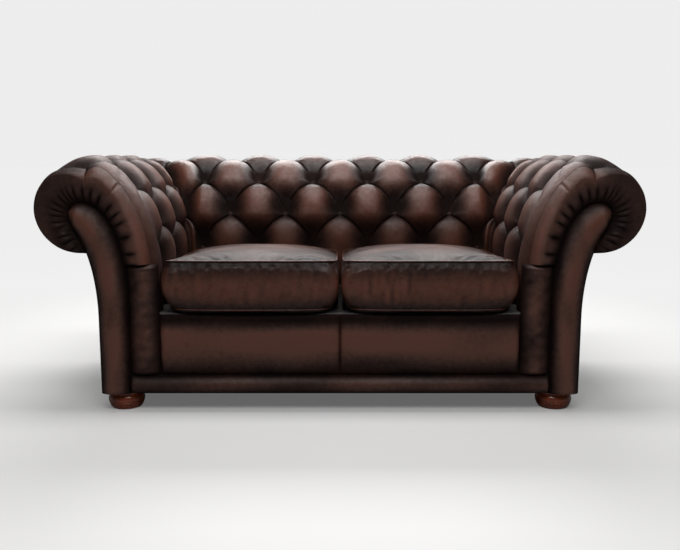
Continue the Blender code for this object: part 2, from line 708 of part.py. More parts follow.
def bolt(name, x, y, material):
    """Bolt that joins a foot to its corner block."""
    middle = BOLT_BOTTOM + BOLT_LENGTH / 2
    bpy.ops.mesh.primitive_cylinder_add(
        vertices=12, radius=BOLT_RADIUS, depth=BOLT_LENGTH, location=(x, y, middle)
    )
    return place(bpy.context.object, name, material)


def spring(name, x, material):
    """Serpentine seat spring: a flat wire that swings from side to side between two rails."""
    start = BOARD_FRONT + SPRING_LANDING
    end = BACK_FRAME_FRONT - GAP - SPRING_LANDING
    count = SPRING_BENDS * SPRING_BEND_POINTS + 1
    shares = np.linspace(0.0, 1.0, count)
    swing = SPRING_SWING * np.sin(pi * SPRING_BENDS * shares)
    lean = 0.25 * (end - start) / SPRING_BENDS * np.sin(2 * pi * SPRING_BENDS * shares)
    curve = bpy.data.curves.new(name, "CURVE")
    curve.dimensions = "3D"
    curve.bevel_depth = SPRING_WIRE_RADIUS
    curve.bevel_resolution = 1
    curve.use_fill_caps = True
    wire = curve.splines.new("POLY")
    wire.points.add(count - 1)
    places = start + (end - start) * shares - lean
    for point, across, along in zip(wire.points, swing, places):
        point.co = (x + across, along, SPRING_Z, 1.0)
    obj = bpy.data.objects.new(name, curve)
    bpy.context.scene.collection.objects.link(obj)
    return place(obj, name, material)


def dust_cover_outline():
    """Outline (x, y) of the cloth under the frame, notched round the four feet."""
    reach = FRAME_OUTER_X - DUST_COVER_MARGIN
    notch_x = FOOT_X - FOOT_RADIUS - DUST_COVER_CLEAR_OF_FOOT
    front = BOARD_FRONT + DUST_COVER_MARGIN
    rear = BACK_FRAME_REAR - DUST_COVER_MARGIN
    front_notch = FRONT_FOOT_Y + FOOT_RADIUS + DUST_COVER_CLEAR_OF_FOOT
    rear_notch = REAR_FOOT_Y - FOOT_RADIUS - DUST_COVER_CLEAR_OF_FOOT
    right = [
        (notch_x, front),
        (notch_x, front_notch),
        (reach, front_notch),
        (reach, rear_notch),
        (notch_x, rear_notch),
        (notch_x, rear),
    ]
    return right + [(-x, y) for x, y in reversed(right)]


def cushion(name, side, material):
    """Loose seat cushion: boxed sides between two seams whose corners are drawn in. The top seam
    falls to the back and sags along the sides, the top is crowned over it, and the underside is
    round at its edges."""
    low = np.array([CUSHION_MIDDLE_GAP / 2, CUSHION_FRONT, PAD_FOOT_Z])
    high = np.array([CUSHION_OUTER, CUSHION_REAR, CUSHION_TOP_SEAM])
    bpy.ops.mesh.primitive_cube_add(size=2)
    obj = bpy.context.object
    shape = bmesh.new()
    shape.from_mesh(obj.data)
    bmesh.ops.subdivide_edges(shape, edges=shape.edges, cuts=CUSHION_CUTS, use_grid_fill=True)
    middle = (low + high) / 2
    half = (high - low) / 2
    for vertex in shape.verts:
        on_top = vertex.co.z > 1 - CLOSE
        on_base = vertex.co.z < CLOSE - 1
        a, b, c = (sin(share * pi / 2) for share in vertex.co)
        draw = (a * a * b * b) ** 2 * c * c * (CUSHION_TOP_DRAW if c > 0 else CUSHION_BASE_DRAW)
        belly = CUSHION_BULGE * (1 - c * c)
        x = middle[0] + a * (half[0] - CUSHION_BULGE - draw + belly)
        y = middle[1] + b * (half[1] - CUSHION_BULGE - draw + belly)
        dome = (1 - abs(a) ** CUSHION_DOME_CURVE) * (1 - abs(b) ** CUSHION_DOME_CURVE)
        seam = CUSHION_TOP_SEAM - CUSHION_REAR_FALL * (b + 1) / 2 - CUSHION_SIDE_SAG * (1 - b * b)
        z = CUSHION_BOTTOM_SEAM + (seam - CUSHION_BOTTOM_SEAM) * (c + 1) / 2
        if on_top:
            z += CUSHION_CROWN * max(0.0, dome) ** CUSHION_DOME_POWER
        if on_base:
            z -= (CUSHION_BOTTOM_SEAM - PAD_FOOT_Z) * max(0.0, dome) ** CUSHION_BASE_POWER
        vertex.co = (side * x, y, z)
    if side < 0:
        bmesh.ops.reverse_faces(shape, faces=shape.faces)
    shape.to_mesh(obj.data)
    shape.free()
    return place(obj, name, material)


def padded_panel(name, low, high, halves, material):
    """A padded panel that faces the front, each half domed between its drawn-in edges."""
    low = np.array(low)
    high = np.array(high)
    bpy.ops.mesh.primitive_cube_add(size=2)
    obj = bpy.context.object
    shape = bmesh.new()
    shape.from_mesh(obj.data)
    bmesh.ops.subdivide_edges(shape, edges=shape.edges, cuts=PANEL_CUTS, use_grid_fill=True)
    middle = (low + high) / 2
    half = (high - low) / 2
    for vertex in shape.verts:
        number = min(int((vertex.co.x + 1) / 2 * halves), halves - 1)
        own = sin(((vertex.co.x + 1) * halves - 2 * number - 1) * pi / 2)
        up = sin(vertex.co.z * pi / 2)
        dome = max(0.0, (1 - own**4) * (1 - up * up)) ** PANEL_DOME_POWER
        stand = 2 * half[1] * (PANEL_RIM + (1 - PANEL_RIM) * dome)
        x = middle[0] + half[0] * ((2 * number + 1 + own) / halves - 1)
        vertex.co = (x, high[1] - stand * (1 - vertex.co.y) / 2, middle[2] + half[2] * up)
    shape.to_mesh(obj.data)
    shape.free()
    return place(obj, name, material)


def build_frame(timber):
    """Rails, boards, blocks and the rails inside the rolls."""
    top_rail_z = ROLL_CENTRE_Z + TOP_RAIL_RISE
    board_back = BOARD_FRONT + BOARD
    roll_front = HALF_DEPTH - ROLL_RADIUS - TOP_RAIL_WIDTH / 2
    roll_x = HALF_WIDTH - ROLL_RADIUS
    box(
        "front_rail",
        (GAP - FRAME_INNER_X, BOARD_FRONT, UNDERSIDE_Z),
        (FRAME_INNER_X - GAP, board_back, FRONT_RAIL_TOP),
        timber,
    )
    box(
        "rear_rail",
        (-BLOCK_OUTER_X, BACK_FRAME_REAR - BOARD, UNDERSIDE_Z),
        (BLOCK_OUTER_X, BACK_FRAME_REAR, UNDERSIDE_Z + SIDE_RAIL_HEIGHT),
        timber,
    )
    box(
        "rear_spring_rail",
        (GAP - FRAME_INNER_X, BACK_FRAME_FRONT - GAP - BOARD, FRONT_RAIL_TOP - SPRING_RAIL_HEIGHT),
        (FRAME_INNER_X - GAP, BACK_FRAME_FRONT - GAP, FRONT_RAIL_TOP),
        timber,
    )
    box(
        "centre_seat_rail",
        (-BOARD / 2, board_back + GAP, FRONT_RAIL_TOP - SPRING_RAIL_HEIGHT),
        (BOARD / 2, BACK_FRAME_FRONT - 2 * GAP - BOARD, FRONT_RAIL_TOP - SPRING_LANDING),
        timber,
    )
    box(
        "back_top_rail",
        (-roll_x - TOP_RAIL_WIDTH / 2, roll_front, top_rail_z),
        (roll_x + TOP_RAIL_WIDTH / 2, roll_front + TOP_RAIL_WIDTH, top_rail_z + TOP_RAIL_THICKNESS),
        timber,
    )
    back_board("centre_back_post", 0.0, timber)
    for word, side in SIDES:
        front_board(word + "_front_post", side, timber)
        back_board(word + "_back_post", side * (FRAME_INNER_X - BOARD / 2), timber)
        side_x = sorted((side * FRAME_OUTER_X, side * (FRAME_OUTER_X - BOARD)))
        box(
            word + "_side_rail",
            (side_x[0], board_back + GAP, UNDERSIDE_Z),
            (side_x[1], BACK_FRAME_REAR, UNDERSIDE_Z + SIDE_RAIL_HEIGHT),
            timber,
        )
        roll = sorted((side * (roll_x - TOP_RAIL_WIDTH / 2), side * (roll_x + TOP_RAIL_WIDTH / 2)))
        box(
            word + "_arm_top_rail",
            (roll[0], board_back + GAP, top_rail_z),
            (roll[1], roll_front - GAP, top_rail_z + TOP_RAIL_THICKNESS),
            timber,
        )
        inner = sorted((side * (FRAME_INNER_X + GAP), side * (FRAME_INNER_X + STUFF_RAIL_THICKNESS)))
        box(
            word + "_arm_stuff_rail",
            (inner[0], board_back + GAP, PAD_FOOT_Z),
            (inner[1], BACK_FRAME_FRONT + STUFF_RAIL_LAP, PAD_FOOT_Z + STUFF_RAIL_HEIGHT),
            timber,
        )
        bay = sorted((side * (BOARD / 2 + GAP), side * (FRAME_INNER_X - BOARD - GAP)))
        box(
            word + "_back_stuff_rail",
            (bay[0], BACK_FRAME_FRONT, PAD_FOOT_Z),
            (bay[1], BACK_FRAME_FRONT + STUFF_RAIL_THICKNESS, PAD_FOOT_Z + STUFF_RAIL_HEIGHT),
            timber,
        )
        corner_block(word + "_front_corner_block", side, FRONT_BLOCK_Y, 1, timber)
        corner_block(word + "_rear_corner_block", side, REAR_BLOCK_Y, -1, timber)


def build_feet(mahogany, steel):
    """Four turned feet and the bolts that hold them."""
    for word, side in SIDES:
        for end, y in (("front", FRONT_FOOT_Y), ("rear", REAR_FOOT_Y)):
            turned(f"{word}_{end}_foot", foot_profile(), (side * FOOT_X, y, 0.0), mahogany)
            bolt(f"{word}_{end}_foot_bolt", side * FOOT_X, y, steel)


def build_seat(leather, cloth, lining, wire):
    """Springs, deck, dust cover and the two loose cushions."""
    for number, share in enumerate(SPRING_SHARES):
        for word, side in SIDES:
            spring(f"{word}_seat_spring_{number + 1}", side * share * FRAME_INNER_X, wire)
    box(
        "seat_deck",
        (GAP - FRAME_INNER_X, BOARD_FRONT, DECK_TOP - DECK_THICKNESS),
        (FRAME_INNER_X - GAP, BACK_FRAME_FRONT - GAP, DECK_TOP),
        cloth,
    )
    cover = plate("dust_cover", [dust_cover_outline()], DUST_COVER_THICKNESS, lining)
    cover.location = (0.0, 0.0, FOOT_HEIGHT - DUST_COVER_THICKNESS / 2)
    for word, side in SIDES:
        cushion(word + "_seat_cushion", side, leather)


def build_upholstery(leather, facing_leather):
    """Buttoned pads, facings, borders and outside panels."""
    back_pad(leather)
    shoulder = ROLL_CENTRE_Z - ROLL_RADIUS + PAD_BACKING
    band_end = HALF_WIDTH - FACING_INNER_INSET - GAP
    padded_panel(
        "bottom_band",
        (-band_end, BAND_SETBACK - HALF_DEPTH, UNDERSIDE_Z),
        (band_end, COVER_BACK, BAND_TOP),
        1,
        facing_leather,
    )
    padded_panel(
        "front_border",
        (-SEAT_BORDER_HALF, BORDER_SETBACK - HALF_DEPTH, BAND_TOP + GAP),
        (SEAT_BORDER_HALF, COVER_BACK, DECK_TOP),
        2,
        facing_leather,
    )
    box(
        "outside_back_panel",
        (PANEL_INNER_INSET + GAP - HALF_WIDTH, HALF_DEPTH - PANEL_INNER_INSET, UNDERSIDE_Z),
        (HALF_WIDTH - PANEL_INNER_INSET - GAP, HALF_DEPTH - PANEL_INSET, shoulder),
        leather,
        ARRIS,
        2,
    )
    for word, side in SIDES:
        arm_pad(word + "_arm_tufted_pad", side, leather)
        facing(word + "_arm_facing", side, facing_leather)
        scroll_border(word + "_scroll_border", side, facing_leather)
        arm_front_border(word + "_arm_front_border", side, facing_leather)
        panel_x = sorted((side * (HALF_WIDTH - PANEL_INNER_INSET), side * (HALF_WIDTH - PANEL_INSET)))
        box(
            word + "_outside_arm_panel",
            (panel_x[0], BOARD_FRONT, UNDERSIDE_Z),
            (panel_x[1], HALF_DEPTH - PANEL_INSET, shoulder),
            leather,
            ARRIS,
            2,
        )


clear_scene()
SOFA = bpy.data.collections.new("Two-seater sofa")
bpy.context.scene.collection.children.link(SOFA)

LEATHER = new_material("Antique brown leather", (0.060, 0.022, 0.014), 0.38)
FACING_LEATHER = new_material("Rubbed brown leather", (0.085, 0.030, 0.018), 0.36)
TIMBER = new_material("Beech frame", (0.52, 0.36, 0.21), 0.7)
MAHOGANY = new_material("Polished mahogany", (0.20, 0.045, 0.018), 0.3)
SPRING_WIRE = new_material("Spring wire", (0.35, 0.35, 0.36), 0.35, 1.0)
BOLT_STEEL = new_material("Zinc-plated steel", (0.55, 0.56, 0.58), 0.3, 1.0)
PLATFORM = new_material("Platform cloth", (0.035, 0.025, 0.02), 0.9)
LINING = new_material("Dust cloth", (0.015, 0.015, 0.015), 0.95)

build_frame(TIMBER)
build_feet(MAHOGANY, BOLT_STEEL)
build_seat(LEATHER, PLATFORM, LINING, SPRING_WIRE)
build_upholstery(LEATHER, FACING_LEATHER)
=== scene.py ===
"""Looks of the two-seater scroll-arm sofa: buttoned leather, gathers, piping, cushions and feet.

Metres, +Z up, the sofa's front towards -Y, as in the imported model. Sections of the arms and the
back are drawn in (inset, z), where inset is the distance in from the outermost line of the roll.
Along a section, down is the distance from the crest row of buttons towards the seat, and column
counts the buttons round the U of arms and back, from 0 in the middle of the back.
"""

from math import pi, radians

import bmesh
import bpy
import numpy as np
from bpy.props import FloatProperty, FloatVectorProperty, IntProperty, PointerProperty
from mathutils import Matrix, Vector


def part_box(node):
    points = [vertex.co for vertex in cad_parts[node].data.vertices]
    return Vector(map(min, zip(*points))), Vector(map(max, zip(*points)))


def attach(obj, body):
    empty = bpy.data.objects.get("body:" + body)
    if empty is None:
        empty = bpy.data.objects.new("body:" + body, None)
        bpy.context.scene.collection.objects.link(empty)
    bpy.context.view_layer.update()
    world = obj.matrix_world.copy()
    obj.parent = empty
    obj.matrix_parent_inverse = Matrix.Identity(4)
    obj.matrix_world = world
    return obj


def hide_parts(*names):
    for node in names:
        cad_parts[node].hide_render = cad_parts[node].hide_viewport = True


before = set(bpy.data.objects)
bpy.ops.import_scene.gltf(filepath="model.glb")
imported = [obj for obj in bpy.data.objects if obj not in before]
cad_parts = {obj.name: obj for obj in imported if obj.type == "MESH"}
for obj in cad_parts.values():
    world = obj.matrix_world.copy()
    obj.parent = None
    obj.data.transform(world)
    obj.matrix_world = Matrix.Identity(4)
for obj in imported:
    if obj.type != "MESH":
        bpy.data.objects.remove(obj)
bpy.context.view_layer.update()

bl_info = {
    "name": "Buttoned Scroll-Arm Sofa",
    "version": (1, 0, 0),
    "blender": (4, 5, 0),
    "location": "View3D > Sidebar > Sofa",
    "description": "Builds the leather, seams, cushions and feet of a buttoned two-seater sofa",
    "category": "Object",
}

# Sizes that the solids share
HALF_WIDTH = 0.8925
HALF_DEPTH = 0.47
ROLL_RADIUS = 0.134
ROLL_CENTRE_Z = 0.60
FACE_INSET = 0.334
LEAN_HEIGHT = 0.41
LEAN_RISE = 0.324
PAD_FOOT_Z = 0.2917
PAD_BACKING = 0.0265
PANEL_INSET = 0.1815
GAP = 0.0003
ROW_PITCH = 0.128
CREST_ROW_BACK = 0.024
LAST_ROW = 3
COLUMN_PITCH = 0.2
BACK_HALF_COLUMNS = 2.5
CORNER_COLUMN = 3
ARM_FIRST_COLUMN = 3.5
ARM_LAST_COLUMN = 5.5
ARM_COLUMN_PITCH = 0.205
FRONT_COLUMN_SETBACK = 0.155
PLEAT_FADE_START = 0.05
PLEAT_FADE_SPAN = 0.20
CREASE_FILL = 0.30
FOLD_SWEEP = 0.68
FOLD_CURVE = 2.7
BORDER_BULGE = 0.0257
FRONT_TURN = 0.075
FRONT_DROP_ROLL = 0.018
FRONT_DROP_FACE = 0.052
FRONT_ROUND = FRONT_TURN + BORDER_BULGE
BOARD_FRONT = -0.44
COVER_BACK = -0.4403
UNDERSIDE_Z = 0.0523
ARM_BORDER_TOP = 0.44
FACING_OUTER_INSET = 0.181
FACING_INNER_INSET = 0.271
FACING_LEAN_HEIGHT = 0.35
HOOK_INSET = 0.1475
HOOK_Z = 0.58
HOOK_RADIUS = 0.0405
NECK_HEIGHT = 0.28
NECK_SPREAD = 0.11
NECK_RISE = 0.29
NECK_TURN = radians(64)
HOOK_TURN = radians(-35)
FOOT_HEIGHT = 0.052
FOOT_RADIUS = 0.054
SIDES = (("left", -1), ("right", 1))
FRONT_COLUMN = (
    ARM_LAST_COLUMN + (FRONT_COLUMN_SETBACK - (HALF_DEPTH + BOARD_FRONT)) / ARM_COLUMN_PITCH
)

# The shape of a puff and of what lies round a button
PUFF_POWER = 0.56
POWER_BELOW = 0.22
POWER_ABOVE = 0.75
POWER_REACH = 0.055
PUFF_LEAN = 0.20
RIDGE_POWER = 1.4
HOLLOW_SHARE = 0.80
HOLLOW_ASIDE = 0.040
HOLLOW_ABOVE = 0.080
GROOVE_HALF_WIDTH = 0.013
LIP_PLACE = 0.034
LIP_HALF_WIDTH = 0.018
RING_RADIUS = 0.03
RING_HALF_WIDTH = 0.014
LUMP_HEIGHT = 0.0012
FRONT_PUFF_START = 5.5
FRONT_PUFF_SPAN = 0.4
FRONT_PUFF_FILL = 0.82
FRONT_PUFF_DOWN = 0.02
FRONT_PUFF_DROP = 0.08
BUTTON_LIFT = 0.003
CORNER_BUTTON_LIFT = 0.004

# The crease that branches off near the top of a scroll border
BRANCH_COLUMN = 5.75
BRANCH_DOWN = 0.07
BRANCH_SLOPE = 0.62
BRANCH_REACH = 0.11
BRANCH_DEPTH = 0.0045
BRANCH_HALF_WIDTH = 0.0035
BRANCH_LIP = 0.0022
BRANCH_LIP_RISE = 0.010
BRANCH_LIP_HALF_WIDTH = 0.006

# Painted shade on the pads: dark and dull over each button, and darker and duller on lower puffs
# and arms
SHADE_ASIDE = 0.046
SHADE_ALONG = 0.048
SHADE_RISE = 0.026
SHADE_DEPTH = 1.25
LOWER_PUFFS = (0.17, 0.32)
LOWER_SHADE_SHARE = 0.62
LOWER_GLOSS = 0.4
ARM_SHADE_SHARE = 0.8
ARM_GLOSS = 0.36

# Facings and the borders of the front
FACING_BULGE = 0.0294
FACING_TIP = radians(18)
FACING_SEAM = 0.0008
BORDER_TUCK = 0.021
TUCK_TURN = radians(42)
GATHER_PLACE = 0.028
GATHER_HALF_WIDTH = 0.018
GATHERS_UP_THE_LEAN = 8.5
GATHERS_ROUND_THE_HOOK = 13

# Seams and filling of a cushion
SEAM_TOP = 0.451
SEAM_FALL = 0.028
SEAM_SAG = 0.010
SEAM_BOTTOM = 0.307
SEAM_TOP_DRAW = 0.010
SEAM_BOTTOM_DRAW = 0.026
CUSHION_BULGE = 0.007
CUSHION_VOXEL = 0.006
CUSHION_SWELL = 0.024
CUSHION_RISE = 0.027
CUSHION_HEADROOM = 0.02
CUSHION_FRAMES = 20
PIPING_PROUD = 0.0012

# Leathers: scale of the rub with its painted shade, roughness, least gloss and rise of the gloss
HIDES = {
    "Buttoned leather": (1.0, 0.33, 0.0, 0.72),
    "Border leather": (1.3, 0.42, 0.04, 1.7),
    "Cushion leather": (1.0, 0.30, 0.14, 0.55),
}

# Stage: the camera fitted to the photograph, and lamps by place, turn in degrees, size and watts
CAMERA_LENS = 42.25
CAMERA_PLACE = (0.0, -2.75, 0.75)
CAMERA_TURN = radians(81.59)
LAMPS = {
    "Back lamp": ((0.0, 2.1, 2.5), (-48, 0, 0), (3.4, 0.9), 125),
    "Top lamp": ((0.0, -0.3, 2.8), (4, 0, 0), (2.2, 0.8), 46),
    "Front lamp": ((0.0, -2.5, 3.1), (35, 0, 0), (3.0, 1.4), 60),
}

# Turned foot: (share of its height, share of its radius), from its top down to its base
FOOT_PROFILE = (
    (1.0, 0.0), (1.0, 0.90), (0.93, 0.925), (0.88, 0.90), (0.85, 0.865), (0.82, 0.865),
    (0.79, 0.91), (0.70, 0.965), (0.60, 0.99), (0.50, 1.0), (0.44, 0.995), (0.425, 0.965),
    (0.41, 0.985), (0.36, 0.98), (0.30, 0.965), (0.285, 0.935), (0.27, 0.95), (0.20, 0.925),
    (0.12, 0.885), (0.05, 0.84), (0.0, 0.80), (0.0, 0.0),
)


class SofaSizes(bpy.types.PropertyGroup):
    """Sizes of the leather work."""

    puff_depth: FloatProperty(
        name="Puff depth", description="How far a puff stands over its buttons",
        default=0.0315, min=0.01, max=0.05, unit="LENGTH",
    )
    button_sink: FloatProperty(
        name="Button sink", description="How far the buttons are drawn in behind their line",
        default=0.014, min=0.0, max=0.02, unit="LENGTH",
    )
    fold_depth: FloatProperty(
        name="Fold depth", description="Depth of the sharp fold under each button",
        default=0.005, min=0.0, max=0.01, unit="LENGTH",
    )
    lip_height: FloatProperty(
        name="Fold lip", description="Height of the lip along the upper side of a fold",
        default=0.0016, min=0.0, max=0.004, unit="LENGTH",
    )
    wrinkle_height: FloatProperty(
        name="Wrinkles", description="Height of the wrinkles that run into a button",
        default=0.0013, min=0.0, max=0.004, unit="LENGTH",
    )
    pleat_depth: FloatProperty(
        name="Roll pleats", description="Depth of the pleats over the roll",
        default=0.004, min=0.0, max=0.01, unit="LENGTH",
    )
    gather_depth: FloatProperty(
        name="Gathers", description="Depth of the gathers round a facing",
        default=0.0055, min=0.0, max=0.008, unit="LENGTH",
    )
    button_radius: FloatProperty(
        name="Button radius", description="Radius of a covered button",
        default=0.0105, min=0.005, max=0.02, unit="LENGTH",
    )
    piping_radius: FloatProperty(
        name="Piping radius", description="Radius of the piping on the cushions",
        default=0.0027, min=0.001, max=0.006, unit="LENGTH",
    )
    crown: FloatProperty(
        name="Cushion crown", description="How far the middle of a cushion rises over its seam",
        default=0.043, min=0.005, max=0.06, unit="LENGTH",
    )
    steps: IntProperty(
        name="Steps per row", description="Grid steps between two rows of buttons",
        default=36, min=8, max=60,
    )


class SofaColours(bpy.types.PropertyGroup):
    """Colours of the sofa and its stage."""

    # hide colour in the folds, also used for painted shade round buttons, along edges and under the
    # cushions
    hide_dark_and_shade: FloatVectorProperty(
        name="Hide in folds", description="Leather colour in the folds and along edges",
        default=(0.0070, 0.0030, 0.0023), size=3, min=0.0, max=1.0, subtype="COLOR",
    )
    hide_brown: FloatVectorProperty(
        name="Hide", description="Leather colour between folds and rubbed places",
        default=(0.034, 0.0135, 0.0095), size=3, min=0.0, max=1.0, subtype="COLOR",
    )
    hide_rubbed: FloatVectorProperty(
        name="Rubbed hide", description="Leather colour where the dark finish is rubbed off",
        default=(0.125, 0.042, 0.025), size=3, min=0.0, max=1.0, subtype="COLOR",
    )
    mahogany: FloatVectorProperty(
        name="Mahogany", description="Colour of the polished feet",
        default=(0.20, 0.036, 0.009), size=3, min=0.0, max=1.0, subtype="COLOR",
    )
    beech: FloatVectorProperty(
        name="Beech", description="Colour of the frame inside",
        default=(0.50, 0.33, 0.19), size=3, min=0.0, max=1.0, subtype="COLOR",
    )
    cloth: FloatVectorProperty(
        name="Deck cloth", description="Colour of the cloth under the cushions",
        default=(0.030, 0.022, 0.018), size=3, min=0.0, max=1.0, subtype="COLOR",
    )
    lining: FloatVectorProperty(
        name="Dust cloth", description="Colour of the cloth under the frame",
        default=(0.012, 0.012, 0.013), size=3, min=0.0, max=1.0, subtype="COLOR",
    )
    steel: FloatVectorProperty(
        name="Steel", description="Colour of springs and bolts",
        default=(0.42, 0.42, 0.43), size=3, min=0.0, max=1.0, subtype="COLOR",
    )
    floor: FloatVectorProperty(
        name="Floor", description="Colour of the studio floor",
        default=(0.62, 0.615, 0.61), size=3, min=0.0, max=1.0, subtype="COLOR",
    )


def profile_line():
    """The line that the buttons are drawn down to: a straight rise, a quarter ellipse that leans
    out to the top of the roll, half round the roll, and back to the outside panel."""
    fine = np.linspace(0.0, 1.0, 400)
    rise = np.stack([0 * fine + FACE_INSET, PAD_FOOT_Z + fine * (LEAN_HEIGHT - PAD_FOOT_Z)], 1)
    turn = fine * pi / 2
    lean_inset = ROLL_RADIUS + (FACE_INSET - ROLL_RADIUS) * np.cos(turn)
    lean = np.stack([lean_inset, LEAN_HEIGHT + LEAN_RISE * np.sin(turn)], 1)
    turn = pi / 2 - fine * pi
    roll_inset = ROLL_RADIUS * (1 - np.cos(turn))
    roll = np.stack([roll_inset, ROLL_CENTRE_Z + ROLL_RADIUS * np.sin(turn)], 1)
    under_inset = ROLL_RADIUS + fine * (PANEL_INSET - GAP - ROLL_RADIUS)
    under = np.stack([under_inset, 0 * fine + ROLL_CENTRE_Z - ROLL_RADIUS], 1)
    points = np.concatenate([rise, lean[1:], roll[1:], under[1:]])
    steps = np.linalg.norm(np.diff(points, axis=0), axis=1)
    travelled = np.concatenate([[0.0], np.cumsum(steps)])
    top = travelled[len(rise) + len(lean) - 2]
    tangents = np.gradient(points, travelled, axis=0)
    tangents /= np.linalg.norm(tangents, axis=1)[:, None]
    normals = np.stack([tangents[:, 1], -tangents[:, 0]], 1)
    return points, normals, top - CREST_ROW_BACK - travelled


LINE_POINTS, LINE_NORMALS, LINE_DOWN = profile_line()
DOWN_FOOT = float(LINE_DOWN[0])
DOWN_END = float(LINE_DOWN[-1])


def line_at(down):
    """Points and normals (inset, z) of the profile at these distances down."""
    axes = LINE_DOWN[::-1]
    point = [np.interp(down, axes, LINE_POINTS[::-1, k]) for k in (0, 1)]
    normal = [np.interp(down, axes, LINE_NORMALS[::-1, k]) for k in (0, 1)]
    normal = np.stack(normal, -1)
    return np.stack(point, -1), normal / np.linalg.norm(normal, axis=-1, keepdims=True)


def down_at_turn(turn):
    """Distance down of a point on the roll, by its angle at the roll's centre."""
    return -CREST_ROW_BACK - ROLL_RADIUS * (pi / 2 - turn)


def down_at_height(height):
    """Distance down of the face's point at this height."""
    face = LINE_DOWN > 0
    return float(np.interp(height, LINE_POINTS[face, 1], LINE_DOWN[face]))


def ripple(*places):
    """Smooth irregular waves between about -1 and 1: a sum of sines over mixed directions."""
    total = 0.0
    for number in range(1, 6):
        phase = 0.0
        for axis, place in enumerate(places):
            phase = phase + place * np.sin(number * 2.4 + axis * 1.7) * (1 + 0.37 * number)
        total = total + np.sin(phase + 1.9 * number) / number**0.5
    return total / 2.6


def smooth(share):
    """Share from 0 to 1 with level ends."""
    share = np.clip(share, 0.0, 1.0)
    return share * share * (3 - 2 * share)


def rounded(share):
    """Share from 0 to 1 that rises as a quarter circle: sqrt(share * (2 - share))."""
    share = np.clip(share, 0, 1)
    return np.sqrt(share * (2 - share))


def arch(share):
    """A parabola over a share from 0 to 1, one in its middle and nil at both ends."""
    return 1 - (2 * share - 1) ** 2


def bell(distance, half_width):
    """exp(-(distance / half width) ** 2)."""
    return np.exp(-((distance / half_width) ** 2))


def shares_close_at_ends(count):
    """Shares from 0 to 1 that lie closer together near both ends."""
    return (1 - np.cos(np.linspace(0, pi, count))) / 2


DROP = np.linspace(0.0, 1.0, 400)
FOLD_PATH = (1 - FOLD_SWEEP) * DROP + FOLD_SWEEP * (1 - (1 - DROP) ** FOLD_CURVE)


def fold_row(row):
    """Row as the folds follow it: each leaves a button nearly level and comes to the next row
    steeply, by drop + sweep * (1 - (1 - drop) ** curve - drop)."""
    whole = np.floor(row)
    return whole + np.interp(row - whole, DROP, FOLD_PATH)


def fold_column(down, column):
    """Column as the folds count it: over the roll, a corner takes one more puff on its mitre,
    which ends between rows 1 and 2."""
    extra = 0.5 * (1 - smooth(down / ROW_PITCH - 1))
    away = np.abs(column)
    near = np.clip(1 - np.abs(CORNER_COLUMN - away) / 0.5, 0, 1)
    return np.sign(column) * (away + np.sign(CORNER_COLUMN - away + 1e-9) * extra * near)


def front_drop(down):
    """Half height of the oval that turns an arm's leather over its front edge."""
    return FRONT_DROP_ROLL + (FRONT_DROP_FACE - FRONT_DROP_ROLL) * smooth((down + 0.12) / 0.16)


def from_button(u, v, row, at_u, at_v):
    """How far to the right of a button and below it, where the button lies at whole u and v."""
    return (u - at_u + v - at_v) / 2 * COLUMN_PITCH, (row - (at_v - at_u)) * ROW_PITCH


